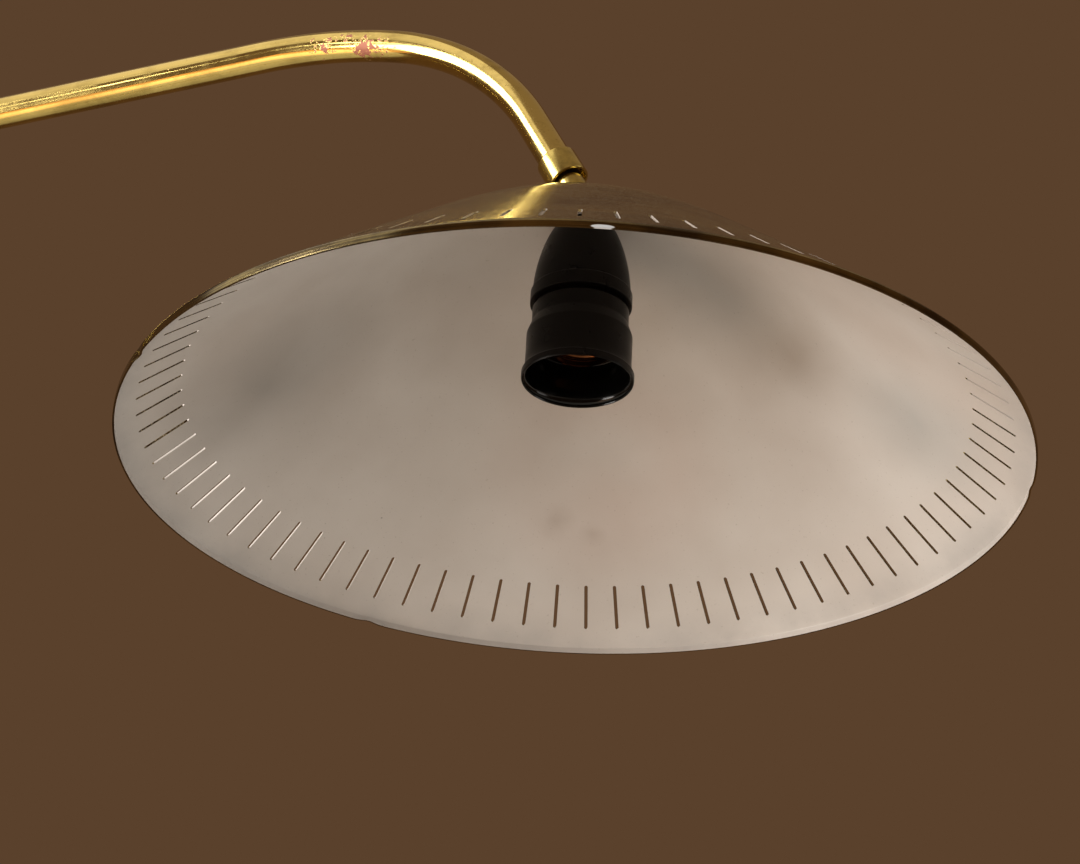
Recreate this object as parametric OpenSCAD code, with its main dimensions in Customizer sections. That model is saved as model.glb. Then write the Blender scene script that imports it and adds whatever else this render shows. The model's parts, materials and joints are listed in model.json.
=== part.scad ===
// Bridge floor lamp: a brass arm on a telescoping pole carries a slotted, spun brass shade.
// Origin at the centre of the base, on the floor; +Z up; the arm reaches out along +X.

/* [Base] */
// Outer diameter of the base
base_d = 280; // [240:5:340]
// Height of the base at its centre
base_h = 34; // [28:1:44]
// Height of the base at its rim
base_rim_h = 20; // [18:1:24]
// Rounding between the side and the top of the base
base_round = 6; // [4:0.5:9]
// Thickness of the spun brass cover
cover_t = 1; // [0.8:0.1:1.5]
// Thickness of the felt under the base
felt_t = 2; // [1.5:0.5:4]
// Width of the bare iron edge outside the felt
felt_inset = 6; // [4:1:12]
// Diameter of the recess for the nut under the weight
nut_recess_d = 36; // [34:1:44]
// Depth of the recess for the nut under the weight
nut_recess_h = 9; // [8:0.5:12]
// Height of the cord inlet above the floor
inlet_h = 9; // [8.5:0.5:9.5]
// Bore of the cord inlet
inlet_bore_d = 7; // [5:0.5:7.5]
// Diameter of the hole in the cover for the inlet bush
inlet_hole_d = 9; // [8.5:0.5:9.5]

/* [Pole] */
// Outer diameter of the lower tube
lower_tube_d = 20; // [19.5:0.5:22]
// Wall of the lower tube
lower_tube_wall = 1; // [0.8:0.1:1.1]
// Length of the lower tube
lower_tube_len = 746; // [650:2:820]
// Outer diameter of the upper tube
upper_tube_d = 16; // [14.5:0.5:16.5]
// Wall of the upper tube
upper_tube_wall = 1; // [0.7:0.1:1.1]
// Length of the upper tube
upper_tube_len = 850; // [760:5:940]
// Diameter of the flange at the foot of the pole
foot_d = 46; // [40:1:60]
// Height of the flange at the foot of the pole
foot_h = 26; // [22:1:40]
// Diameter of the hollow stud that ties the pole to the base
stud_d = 13; // [12:0.5:14]
// Outer diameter of the clamp collar
collar_d = 28; // [27:0.5:34]
// Height of the clamp collar
collar_h = 38; // [34:1:46]
// Length of lower tube held in the clamp collar
collar_grip = 16; // [12:1:18]
// Diameter of the thumbscrew's thread
knob_thread_d = 6; // [5:0.5:8]
// Diameter of the thumbscrew's head
knob_head_d = 18; // [16:1:24]
// Thickness of the thumbscrew's head
knob_head_t = 9; // [7:1:14]

/* [Pole head] */
// Height of the axis that the arm tilts about
tilt_axis_h = 1380; // [1320:5:1460]
// Outer diameter of the swivel socket
socket_d = 23; // [21:0.5:28]
// Diameter of the swivel stem
swivel_stem_d = 12; // [10:0.5:12.5]
// Length of the swivel bearing
swivel_len = 19; // [16:1:26]
// Diameter of the fork that holds the arm
fork_d = 30; // [29:0.5:36]
// Thickness of each cheek of the fork
cheek_t = 4; // [3.4:0.1:5]
// Width of the arm knuckle between the cheeks
drum_w = 14; // [13:0.5:18]
// Diameter of the arm knuckle
drum_d = 26; // [25:0.5:27]
// Thickness of each friction washer
friction_t = 0.8; // [0.5:0.1:1.5]
// Diameter of the pivot bolt
bolt_d = 6; // [5:0.5:7]
// Diameter of the tilt knob
tilt_knob_d = 22; // [18:1:28]
// Thickness of the tilt knob
tilt_knob_t = 9; // [7:1:14]

/* [Arm] */
// Outer diameter of the arm tube
arm_d = 14; // [13:0.5:14.5]
// Wall of the arm tube
arm_wall = 1; // [0.8:0.1:1.1]
// Length of the ferrule round the arm's rear end
ferrule_len = 32; // [26:1:44]
// Outer diameter of that ferrule
ferrule_d = 17.6; // [17.2:0.2:18]
// Length from the tilt axis to the first bend
arm_straight = 314; // [260:2:380]
// Rise of the arm's straight part, in degrees
arm_rise = 1.5; // [0:0.5:4]
// Centreline radius of the first, gentle bend
bend_1_radius = 230; // [180:5:280]
// Turn of the first bend, in degrees
bend_1_turn = 16; // [10:0.5:20]
// Centreline radius of the second bend
bend_2_radius = 107; // [90:1:130]
// Turn of the second bend, in degrees
bend_2_turn = 46.5; // [40:0.5:50]
// Straight length from the second bend to the mouth of the collar
arm_tail = 37; // [32:1:50]
// Outer diameter of the collar at the arm's front end
head_collar_d = 17.2; // [16.8:0.1:18]
// Length of that collar
head_collar_len = 13; // [12:0.5:16]
// Depth of the open skirt at the collar's mouth
head_skirt_depth = 5.2; // [4.6:0.2:6]
// Wall of that skirt
head_skirt_wall = 1.2; // [1:0.1:1.4]

/* [Head joint] */
// Diameter of the swivelling stem
stem_d = 12; // [11.6:0.1:12.4]
// Diameter of the stem's journal in the arm
journal_d = 8; // [7:0.5:9]
// Length of the bush that the journal turns in
journal_len = 11; // [9:1:16]
// Distance from the collar's mouth to the tilt pivot
stem_drop = 16.5; // [15:0.5:20]
// Width of the tongue between the fork's cheeks
tongue_w = 7; // [6.6:0.1:7.4]
// Diameter of the pivot screws' thread
pivot_screw_d = 3.4; // [3:0.1:4]
// Diameter of the pivot screws' tips
pivot_tip_d = 3; // [2.4:0.1:3]
// Diameter of the threaded shank that carries the shade
shank_d = 10; // [9.6:0.1:10.4]
// Bore for the lead through the stem and the shank
lead_bore_d = 3.8; // [3:0.1:4]
// Diameter of the crown washer on the shade
crown_washer_d = 24; // [20:1:28]
// Thickness of the crown washer
crown_washer_t = 1; // [0.8:0.1:1.4]
// Thickness of the shank's flange
flange_t = 1.2; // [1:0.1:1.6]

/* [Shade] */
// Diameter of the shade at its rim
shade_d = 360; // [330:5:400]
// Sheet thickness of the shade
shade_t = 0.8; // [0.6:0.1:1.2]
// Slope of the shade's straight flank, in degrees
flank_angle = 37.6; // [34:0.2:42]
// Slope where the dome meets the shoulder, in degrees
dome_angle = 31; // [26:0.5:33]
// Radius at which the flank ends
flank_end_r = 92; // [80:1:110]
// Radius at which the dome ends
dome_end_r = 58; // [45:1:70]
// Height of the turned-down lip
lip_h = 2.2; // [1.5:0.1:4]
// Rounding between the lip and the flank
lip_round = 1.6; // [1.2:0.1:2.4]
// Number of slots
slot_count = 79; // [36:1:84]
// Length of a slot, along the slope
slot_len = 21.3; // [14:0.1:26]
// Width of a slot
slot_w = 1.5; // [0.8:0.1:2]
// Distance along the slope from the lip to the slots
slot_margin = 8.9; // [6:0.1:16]

/* [Lampholder] */
// Outer diameter of the cap's ring
cap_d = 41; // [40:0.5:44]
// Height of the cap, with its ring
cap_h = 36.8; // [35:0.2:42]
// Height of the cap's ring
cap_ring_h = 6.2; // [5:0.2:8]
// Wall of the bakelite cap
cap_wall = 2.4; // [2:0.1:2.6]
// Outer diameter of the shell just under the cap
shell_d = 38.8; // [38.2:0.2:39.6]
// Outer diameter of the skirt
skirt_d = 42.4; // [41:0.2:44]
// Outer diameter of the flared mouth
mouth_d = 45; // [43:0.2:47]
// Length of the whole lampholder
holder_len = 71; // [68:0.5:80]
// Length from the cap to the shell's shoulder
shoulder_drop = 9; // [6:0.5:11]
// Diameter of the ceramic insert
insert_d = 34.6; // [34:0.2:35]
// Inner diameter of the screw shell
bulb_bore_d = 26.6; // [26.4:0.1:27]
// Sheet thickness of the screw shell
bulb_shell_t = 0.6; // [0.4:0.1:0.7]
// Length of the screw shell
bulb_shell_len = 22.2; // [20:0.2:24]

/* [Hidden] */
$fn = 96;

// Clearances between pieces
seat_gap = 0.03;     // a tube in the socket that it is soldered or glued into
face_gap = 0.02;     // flat faces that are clamped together
run_gap = 0.05;      // a shaft that turns or slides in its bore
loose_gap = 0.3;     // round faces that pass each other without guiding
cut = 1;             // how far a cutter runs past the face that it opens

// Colours, as the photograph shows them
polished = [0.80, 0.66, 0.30];
dull_brass = [0.55, 0.47, 0.29];
bakelite = [0.09, 0.07, 0.06];
ceramic = [0.88, 0.86, 0.80];
iron = [0.25, 0.25, 0.26];

// ---- Base ----
base_r = base_d / 2;
cover_lift = felt_t + 0.8;
weight_gap = cover_t + 0.3;
stud_hole_r = stud_d / 2 + 0.2;
foot_seat_r = foot_d / 2 + 3;
cone_angle = atan((base_h - base_rim_h) / (base_r - base_round - foot_seat_r));
bush_lip = 1.2;
channel_w = inlet_hole_d + 1.2;
channel_h = inlet_h - felt_t + channel_w / 2;
stud_wall = 2;
base_washer_t = 1.5;
base_nut_h = 5;
base_nut_af = 24;
nut_top = felt_t + nut_recess_h - base_washer_t;
stud_low = felt_t + 1;

// Half outline of the base, set in from its outer face
function base_outline(inset, bottom) = concat(
    [[base_r - inset, bottom]],
    [for (a = [0 : 15 : 90 - cone_angle])
        [base_r - base_round + (base_round - inset) * cos(a),
         base_rim_h - base_round + (base_round - inset) * sin(a)]],
    [[foot_seat_r, base_h - inset], [stud_hole_r, base_h - inset]]);

function reversed(list) = [for (i = [len(list) - 1 : -1 : 0]) list[i]];

// ---- Pole ----
foot_floor = 6;
foot_top_r = lower_tube_d / 2 + 2.6;
foot_rim = 3;
lower_low = base_h + foot_floor;
lower_top = lower_low + lower_tube_len;
lower_inner_r = lower_tube_d / 2 - lower_tube_wall;
plug_h = 30;
collar_low = lower_top - collar_grip;
collar_top = collar_low + collar_h;
collar_lip = 1.6;
guide_wall = 1.6;
guide_r = upper_tube_d / 2 + guide_wall;
knob_z = (lower_top + collar_top) / 2;
knob_stand = 2;
knob_low_y = collar_d / 2 + knob_stand;
flute_count = 20;
flute_r = 0.9;
collar_screw_d = 4;

fork_rise = 30;
fork_low = tilt_axis_h - fork_rise;
thrust_t = 1;
socket_top = fork_low - thrust_t;
upper_top = socket_top - swivel_len;
upper_low = upper_top - upper_tube_len;
upper_inner_r = upper_tube_d / 2 - upper_tube_wall;
slider_h = 22;
slider_floor = 3;

// ---- Pole head ----
fork_floor = 8;
socket_low = upper_top - 15;
swivel_bore_d = 6.4;
nut_h = 3;
washer_t = 0.8;
stop_z = (socket_top + upper_top) / 2;
stop_screw_d = 4;
stop_tip_d = 2.4;
groove_depth = 1;
groove_turn = 350;
cheek_in = drum_w / 2 + friction_t + 2 * run_gap;
cheek_out = cheek_in + cheek_t;
head_t = 3;
spring_t = 1.2;
spring_y = cheek_out + run_gap;
tilt_knob_y = spring_y + spring_t + run_gap;
hub_r = bolt_d / 2 + 2.5;
cavity_r = drum_d / 2 - 2;
cavity_w = drum_w - 5;
neck_w = drum_w - 0.4;

// ---- Arm: points of the centreline and its directions, in the XZ plane ----
arm_r = arm_d / 2;
arm_inner_r = arm_r - arm_wall;
dir_1 = arm_rise - bend_1_turn;
dir_2 = dir_1 - bend_2_turn;
lean = 90 + dir_2;
bend_swell = 0.05;
bend_lap = 1;
ferrule_start = 19;
tube_start = ferrule_start + 6;
function heading(a) = [cos(a), sin(a)];
function above(a) = [-sin(a), cos(a)];
pivot_1 = [0, tilt_axis_h];
bend_1_start = pivot_1 + arm_straight * heading(arm_rise);
bend_1_centre = bend_1_start - bend_1_radius * above(arm_rise);
bend_1_end = bend_1_centre + bend_1_radius * above(dir_1);
bend_2_centre = bend_1_end - bend_2_radius * above(dir_1);
bend_2_end = bend_2_centre + bend_2_radius * above(dir_2);
collar_mouth = bend_2_end + arm_tail * heading(dir_2);
pivot_2 = collar_mouth + stem_drop * heading(dir_2);

// ---- Head joint: heights along the stem are counted up from the tilt pivot ----
stem_r = stem_d / 2;
tube_end_w = stem_drop + head_skirt_depth;
bush_flange_t = 1;
journal_r = journal_d / 2;
stem_shoulder = tube_end_w - bush_flange_t - 2 * run_gap;
bush_top = tube_end_w + journal_len;
stem_nut_h = 3;
fork_gap = tongue_w / 2 + run_gap;
hub_2_r = stem_r - 0.4;
screw_seat = stem_r - 0.6;
screw_head_t = 1.2;
screw_head_r = 2.5;
tip_depth = 1.15;
flange_r = 7.5;
flange_top = stem_r + loose_gap;
crown_drop = flange_top + flange_t + face_gap + crown_washer_t;
shank_len = 9.6;

// ---- Shade: heights are counted up from its rim ----
shade_r = shade_d / 2;
crown_r = crown_washer_d / 2 + 2;
dome_r = dome_end_r / sin(dome_angle);
shoulder_r = (flank_end_r - dome_end_r) / (sin(flank_angle) - sin(dome_angle));
lip_end = [shade_r - lip_round + lip_round * sin(flank_angle), lip_h + lip_round * cos(flank_angle)];
flank_top_h = lip_end[1] + (lip_end[0] - flank_end_r) * tan(flank_angle);
dome_low_h = flank_top_h + shoulder_r * (cos(dome_angle) - cos(flank_angle));
crown_angle = asin(crown_r / dome_r);
shade_h = dome_low_h + dome_r * (cos(crown_angle) - cos(dome_angle));
rim_z = pivot_2[1] - crown_drop - shade_h;
shoulder_steps = 4;
dome_steps = 10;

// Each entry is [radius, height, slope] on the outer face, from the rim up to the crown
shade_line = concat(
    [[shade_r, 0, 90], [shade_r, lip_h, 90]],
    [for (a = [80 : -14 : flank_angle + 5])
        [shade_r - lip_round + lip_round * sin(a), lip_h + lip_round * cos(a), a]],
    [[lip_end[0], lip_end[1], flank_angle]],
    [for (i = [0 : shoulder_steps - 1])
        let (a = flank_angle + (dome_angle - flank_angle) * i / shoulder_steps)
        [dome_end_r + shoulder_r * (sin(a) - sin(dome_angle)),
         flank_top_h + shoulder_r * (cos(a) - cos(flank_angle)), a]],
    [for (i = [0 : dome_steps])
        let (a = dome_angle + (crown_angle - dome_angle) * i / dome_steps)
        [dome_r * sin(a), dome_low_h + dome_r * (cos(a) - cos(dome_angle)), a]],
    [[crown_r, shade_h, 0], [shank_d / 2 + run_gap, shade_h, 0]]);

// ---- Lampholder: heights are counted down from the crown's inner face ----
holder_z = rim_z + shade_h - shade_t - face_gap;
cap_r = cap_d / 2;
dome_base_r = cap_r - 0.8;
dome_base_drop = cap_h - cap_ring_h;
cap_top_r = 11.4;
cap_power = 1.7;
cap_span = dome_base_drop / pow(1 - pow(cap_top_r / dome_base_r, 2), 1 / cap_power);
cap_steps = 12;
boss_r = 8.5;
boss_h = 11;
neck_r = cap_r - cap_wall;
shell_inner_r = insert_d / 2 + 0.2;
neck_top = cap_h - 9;
ledge_drop = cap_h + shoulder_drop + 4.6;
ledge_t = 3;
ledge_r = bulb_bore_d / 2 + bulb_shell_t + 1.1;
skirt_drop = cap_h + shoulder_drop + 5;
flare_drop = holder_len - 9;
skirt_wall = 2;
insert_top = neck_top;
pocket_top = insert_top + 6;
shell_top = pocket_top + 1;
shell_low = shell_top + bulb_shell_len;
pocket_r = bulb_bore_d / 2 + bulb_shell_t + 0.1;
contact_t = 0.6;
terminal_x = 10;

// Half outline of the cap's dome, set in by a wall
function cap_dome(inset) = [for (i = [cap_steps : -1 : 0])
    let (t = i / cap_steps)
    [dome_base_r * sqrt(1 - pow(t * dome_base_drop / cap_span, cap_power)) - inset,
     -dome_base_drop * (1 - t)]];

// ---- Helpers ----
// A tube along +Z from z = low to z = high
module pipe(outer_r, inner_r, low, high) {
    translate([0, 0, low])
        difference() {
            cylinder(r = outer_r, h = high - low);
            translate([0, 0, -cut])
                cylinder(r = inner_r, h = high - low + 2 * cut);
        }
}

// Moves a piece drawn along +Z to a point of the arm, heading along the arm
module along_arm(point, a) {
    translate([point[0], 0, point[1]])
        rotate([0, 90 - a, 0])
            children();
}

// One bend of the arm tube: it starts along +Z and turns towards +X. Its ends lap over its
// neighbours, and its wall is swollen by a hair, so that it takes their ends in
module bend(radius, turn, swell) {
    lap = bend_lap / radius * 180 / PI;
    translate([radius, 0, 0])
        rotate([90, 0, 0])
            rotate([0, 0, 180 - turn - lap])
                rotate_extrude(angle = turn + 2 * lap, $fn = 180)
                    translate([radius, 0])
                        difference() {
                            circle(r = arm_r + swell, $fn = 48);
                            circle(r = arm_inner_r - swell, $fn = 48);
                        }
}

// Moves a piece drawn along +Z to the end of that bend, heading on along the arm
module after_bend(radius, turn) {
    translate([radius, 0, 0])
        rotate([0, turn, 0])
            translate([-radius, 0, 0])
                children();
}

// The tilt pivot of the head, with +Z up along the stem
module on_stem() {
    translate([pivot_2[0], 0, pivot_2[1]])
        rotate([0, -lean, 0])
            children();
}

// The shade's axis, with z = 0 at the rim
module on_shade() {
    translate([pivot_2[0], 0, rim_z])
        children();
}

// The lampholder's axis, with z = 0 at the top of its cap
module on_holder() {
    translate([pivot_2[0], 0, holder_z])
        children();
}

// A shaft along Y between two places
module shaft_y(r, from, to) {
    translate([0, to, 0])
        rotate([90, 0, 0])
            cylinder(r = r, h = to - from);
}

// A round knob with flutes, from z = 0 up
module fluted_knob(r, h) {
    difference() {
        cylinder(r = r, h = h);
        for (i = [0 : flute_count - 1])
            rotate([0, 0, i * 360 / flute_count])
                translate([r + flute_r / 2, 0, 1])
                    cylinder(r = flute_r, h = h - 2, $fn = 16);
    }
}

// ---- Base ----
module felt_pad() {
    color([0.16, 0.20, 0.17])
        cylinder(r = base_r - weight_gap - felt_inset, h = felt_t);
}

module base_weight() {
    color(iron)
        difference() {
            rotate_extrude()
                polygon(concat(base_outline(weight_gap, felt_t), [[stud_hole_r, felt_t]]));
            translate([0, 0, felt_t - cut])
                cylinder(d = nut_recess_d, h = nut_recess_h + cut);
            translate([-base_r, -channel_w / 2, felt_t - cut])
                cube([base_r, channel_w, channel_h + cut]);
        }
}

module base_cover() {
    color(dull_brass)
        difference() {
            rotate_extrude(convexity = 4)
                polygon(concat(base_outline(0, cover_lift), reversed(base_outline(cover_t, cover_lift))));
            translate([-base_r - cut, 0, inlet_h])
                rotate([0, 90, 0])
                    cylinder(d = inlet_hole_d + 2 * seat_gap, h = cover_t + 2 * cut);
        }
}

// The flanges stand at both faces of the cover's wall, which is flat enough there for the gap
module inlet_bush() {
    flange_in = base_r - cover_t - 0.2;
    color([0.10, 0.10, 0.10])
        translate([-base_r, 0, inlet_h])
            rotate([0, 90, 0])
                difference() {
                    union() {
                        translate([0, 0, -3])
                            cylinder(d = inlet_hole_d + 2 * bush_lip, h = 2.9);
                        translate([0, 0, -0.2])
                            cylinder(d = inlet_hole_d, h = base_r - flange_in + 0.3);
                        translate([0, 0, base_r - flange_in])
                            cylinder(d = inlet_hole_d + 0.8, h = 1.6);
                    }
                    translate([0, 0, -3 - cut])
                        cylinder(d = inlet_bore_d, h = 8);
                }
}

module base_stud() {
    color(dull_brass)
        pipe(stud_d / 2, stud_d / 2 - stud_wall, stud_low, lower_low + plug_h - 4);
}

module base_washer() {
    color("silver")
        pipe(nut_recess_d / 2 - 2, stud_d / 2 + run_gap, nut_top, nut_top + base_washer_t);
}

module base_nut() {
    color("silver")
        difference() {
            translate([0, 0, nut_top - base_nut_h])
                cylinder(d = base_nut_af / cos(30), h = base_nut_h, $fn = 6);
            translate([0, 0, nut_top - base_nut_h - cut])
                cylinder(r = stud_d / 2 + seat_gap, h = base_nut_h + 2 * cut);
        }
}

// ---- Pole ----
module pole_foot() {
    steps = 8;
    rise = foot_h - foot_rim;
    spread = foot_d / 2 - foot_top_r;
    color(polished)
        difference() {
            translate([0, 0, base_h])
                rotate_extrude()
                    polygon(concat(
                        [[0, 0], [foot_d / 2, 0]],
                        [for (i = [0 : steps])
                            let (a = 90 * i / steps)
                            [foot_d / 2 - spread * sin(a), foot_rim + rise * (1 - cos(a))]],
                        [[0, foot_h]]));
            translate([0, 0, base_h - cut])
                cylinder(r = stud_d / 2 + seat_gap, h = foot_floor + 2 * cut);
            translate([0, 0, lower_low])
                cylinder(r = lower_tube_d / 2 + seat_gap, h = foot_h);
        }
}

module lower_tube() {
    color(polished)
        pipe(lower_tube_d / 2, lower_inner_r, lower_low, lower_top);
}

module tube_plug() {
    color(dull_brass)
        pipe(lower_inner_r - seat_gap, stud_d / 2 + seat_gap, lower_low, lower_low + plug_h);
}

module clamp_collar() {
    color(polished)
        difference() {
            translate([0, 0, collar_low])
                cylinder(d = collar_d, h = collar_h);
            translate([0, 0, collar_low - cut])
                cylinder(r = lower_tube_d / 2 + seat_gap, h = collar_grip + cut);
            translate([0, 0, lower_top - cut])
                cylinder(r = guide_r + seat_gap, h = collar_h - collar_grip - collar_lip + cut);
            translate([0, 0, collar_top - collar_lip - cut])
                cylinder(r = upper_tube_d / 2 + loose_gap, h = collar_lip + 2 * cut);
            translate([0, 0, knob_z])
                shaft_y(knob_thread_d / 2 + run_gap, -collar_d / 2 - cut, 0);
            translate([0, 0, lower_top - collar_grip / 2])
                shaft_y(collar_screw_d / 2 + seat_gap, 0, collar_d / 2 + cut);
        }
}

module guide_bush() {
    color([0.85, 0.83, 0.76])
        difference() {
            pipe(guide_r, upper_tube_d / 2 + run_gap, lower_top, collar_top - collar_lip);
            translate([0, 0, knob_z])
                shaft_y(knob_thread_d / 2 + loose_gap, -collar_d / 2, 0);
        }
}

module collar_screw() {
    color("silver")
        translate([0, 0, lower_top - collar_grip / 2])
            shaft_y(collar_screw_d / 2, lower_tube_d / 2 + seat_gap, collar_d / 2 - 0.4);
}

module height_screw() {
    color(polished)
        translate([0, 0, knob_z]) {
            shaft_y(knob_thread_d / 2, -knob_low_y - 1, -upper_tube_d / 2 - loose_gap);
            translate([0, -knob_low_y, 0])
                rotate([90, 0, 0])
                    fluted_knob(knob_head_d / 2, knob_head_t);
        }
}

module upper_tube() {
    color(polished)
        pipe(upper_tube_d / 2, upper_inner_r, upper_low, upper_top);
}

module slider_bush() {
    color([0.85, 0.83, 0.76])
        difference() {
            translate([0, 0, upper_low - slider_floor])
                cylinder(r = lower_inner_r - run_gap, h = slider_h);
            translate([0, 0, upper_low])
                cylinder(r = upper_tube_d / 2 + seat_gap, h = slider_h);
            translate([0, 0, upper_low - slider_floor - cut])
                cylinder(r = upper_inner_r - 1, h = slider_h);
        }
}

// ---- Pole head ----
module swivel_socket() {
    edge = 1.2;
    color(polished)
        difference() {
            rotate_extrude()
                polygon([[0, socket_low], [socket_d / 2 - edge, socket_low],
                    [socket_d / 2, socket_low + edge], [socket_d / 2, socket_top - edge],
                    [socket_d / 2 - edge, socket_top], [0, socket_top]]);
            translate([0, 0, socket_low - cut])
                cylinder(r = upper_tube_d / 2 + seat_gap, h = upper_top - socket_low + cut);
            translate([0, 0, upper_top - cut])
                cylinder(r = swivel_stem_d / 2 + run_gap, h = swivel_len + 2 * cut);
            translate([0, 0, stop_z])
                rotate([0, -90, 0])
                    cylinder(r = stop_screw_d / 2 + seat_gap, h = socket_d);
        }
}

module stop_screw() {
    color("silver")
        translate([0, 0, stop_z])
            rotate([0, -90, 0]) {
                translate([0, 0, swivel_stem_d / 2 + loose_gap])
                    cylinder(d = stop_screw_d, h = socket_d / 2 - swivel_stem_d / 2 - 2 * loose_gap);
                translate([0, 0, swivel_stem_d / 2 - groove_depth + 0.2])
                    cylinder(d = stop_tip_d, h = groove_depth + 0.5);
            }
}

// The stem turns in the socket; its groove stops short of a full turn, so the lead isn't twisted
module swivel_fork() {
    stem_low = upper_top - washer_t - nut_h;
    half_groove = stop_tip_d / 2 + loose_gap;
    color(polished)
        difference() {
            union() {
                translate([0, 0, stem_low])
                    cylinder(d = swivel_stem_d, h = fork_low - stem_low + 1);
                intersection() {
                    translate([0, 0, fork_low])
                        cylinder(d = fork_d, h = tilt_axis_h + drum_d / 2 - fork_low);
                    union() {
                        translate([-fork_d / 2, -fork_d / 2, fork_low])
                            cube([fork_d, fork_d, tilt_axis_h - fork_low]);
                        translate([0, 0, tilt_axis_h])
                            shaft_y(drum_d / 2, -cheek_out, cheek_out);
                    }
                    translate([-fork_d / 2, -cheek_out, fork_low])
                        cube([fork_d, 2 * cheek_out, 2 * fork_d]);
                }
            }
            translate([-fork_d, -cheek_in, fork_low + fork_floor])
                cube([2 * fork_d, 2 * cheek_in, 2 * fork_d]);
            translate([0, 0, tilt_axis_h])
                shaft_y(bolt_d / 2 + run_gap, -fork_d, fork_d);
            translate([0, 0, stem_low - cut])
                cylinder(d = swivel_bore_d, h = 2 * fork_d);
            translate([0, 0, stop_z])
                rotate([0, 0, 180 - groove_turn / 2])
                    rotate_extrude(angle = groove_turn)
                        translate([swivel_stem_d / 2 - groove_depth, -half_groove])
                            square([groove_depth + cut, 2 * half_groove]);
        }
}

module thrust_washer() {
    color([0.85, 0.83, 0.76])
        pipe(socket_d / 2 - 1.2, swivel_stem_d / 2 + loose_gap, socket_top, fork_low);
}

module swivel_washer() {
    color("silver")
        pipe(upper_inner_r - loose_gap, swivel_stem_d / 2 + run_gap, upper_top - washer_t, upper_top);
}

module swivel_nut() {
    color("silver")
        pipe(upper_inner_r - loose_gap, swivel_stem_d / 2 + seat_gap,
            upper_top - washer_t - nut_h, upper_top - washer_t);
}

module pivot_bolt() {
    color(polished)
        translate([0, 0, tilt_axis_h])
            difference() {
                union() {
                    shaft_y(bolt_d / 2, -cheek_out - 1, tilt_knob_y + tilt_knob_t - 1);
                    shaft_y(bolt_d, -cheek_out - head_t, -cheek_out);
                }
                translate([-bolt_d - cut, -cheek_out - head_t - cut, -0.6])
                    cube([2 * bolt_d + 2 * cut, 1 + cut, 1.2]);
            }
}

module friction_washers() {
    color([0.45, 0.28, 0.20])
        translate([0, 0, tilt_axis_h])
            for (side = [-1, 1])
                rotate([90, 0, 0])
                    translate([0, 0, side * (cheek_in - friction_t / 2)])
                        translate([0, 0, -friction_t / 2])
                            pipe(drum_d / 2 - 1, bolt_d / 2 + loose_gap, 0, friction_t);
}

module spring_washer() {
    color("silver")
        translate([0, 0, tilt_axis_h])
            rotate([-90, 0, 0])
                pipe(bolt_d, bolt_d / 2 + loose_gap, spring_y, spring_y + spring_t);
}

module tilt_knob() {
    color(polished)
        translate([0, tilt_knob_y, tilt_axis_h])
            rotate([-90, 0, 0])
                difference() {
                    fluted_knob(tilt_knob_d / 2, tilt_knob_t);
                    translate([0, 0, -cut])
                        cylinder(r = bolt_d / 2 + run_gap, h = tilt_knob_t + 2 * cut);
                }
}

// ---- Arm ----
// A hollow drum: the lead passes round the bolt, from the stem below into the arm
module arm_knuckle() {
    color(polished)
        along_arm(pivot_1, arm_rise)
            difference() {
                union() {
                    shaft_y(drum_d / 2, -drum_w / 2, drum_w / 2);
                    translate([-ferrule_d / 2, -neck_w / 2, 0])
                        cube([ferrule_d, neck_w, ferrule_start + 1]);
                    translate([0, 0, ferrule_start])
                        cylinder(d = ferrule_d, h = ferrule_len);
                }
                shaft_y(bolt_d / 2 + run_gap, -drum_w, drum_w);
                difference() {
                    shaft_y(cavity_r, -cavity_w / 2, cavity_w / 2);
                    shaft_y(hub_r, -drum_w, drum_w);
                }
                translate([0, 0, hub_r + 1])
                    cylinder(r = 4, h = tube_start);
                translate([hub_r, -cavity_w / 2, -cavity_r * 0.6])
                    cube([drum_d, cavity_w, cavity_r * 1.2]);
                translate([0, 0, tube_start])
                    cylinder(r = arm_r + seat_gap, h = ferrule_len);
                translate([0, 0, ferrule_start + ferrule_len * 0.6])
                    rotate([0, 90, 0])
                        cylinder(r = 1.5 + seat_gap, h = ferrule_d);
            }
}

// Each stretch starts in the frame of the one before it
module arm_tube() {
    color(polished)
        along_arm(pivot_1, arm_rise) {
            pipe(arm_r, arm_inner_r, tube_start, arm_straight);
            translate([0, 0, arm_straight]) {
                bend(bend_1_radius, bend_1_turn, bend_swell);
                after_bend(bend_1_radius, bend_1_turn) {
                    bend(bend_2_radius, bend_2_turn, 2 * bend_swell);
                    after_bend(bend_2_radius, bend_2_turn)
                        pipe(arm_r, arm_inner_r, 0, arm_tail - head_skirt_depth);
                }
            }
        }
}

module ferrule_screw() {
    color("silver")
        along_arm(pivot_1, arm_rise)
            translate([0, 0, ferrule_start + ferrule_len * 0.6])
                rotate([0, 90, 0])
                    translate([0, 0, arm_r + 0.1])
                        cylinder(r = 1.5, h = ferrule_d / 2 - arm_r - 0.3);
}

module head_collar() {
    edge = 1;
    top = stem_drop + head_collar_len;
    color(polished)
        on_stem()
            difference() {
                rotate_extrude()
                    polygon([[0, stem_drop], [head_collar_d / 2 - 0.2, stem_drop],
                        [head_collar_d / 2, stem_drop + 0.4], [head_collar_d / 2, top - edge],
                        [head_collar_d / 2 - edge, top], [0, top]]);
                translate([0, 0, stem_drop - cut])
                    cylinder(r = head_collar_d / 2 - head_skirt_wall, h = head_skirt_depth + cut);
                translate([0, 0, stem_drop])
                    cylinder(r = arm_r + seat_gap, h = head_collar_len + cut);
            }
}

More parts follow.
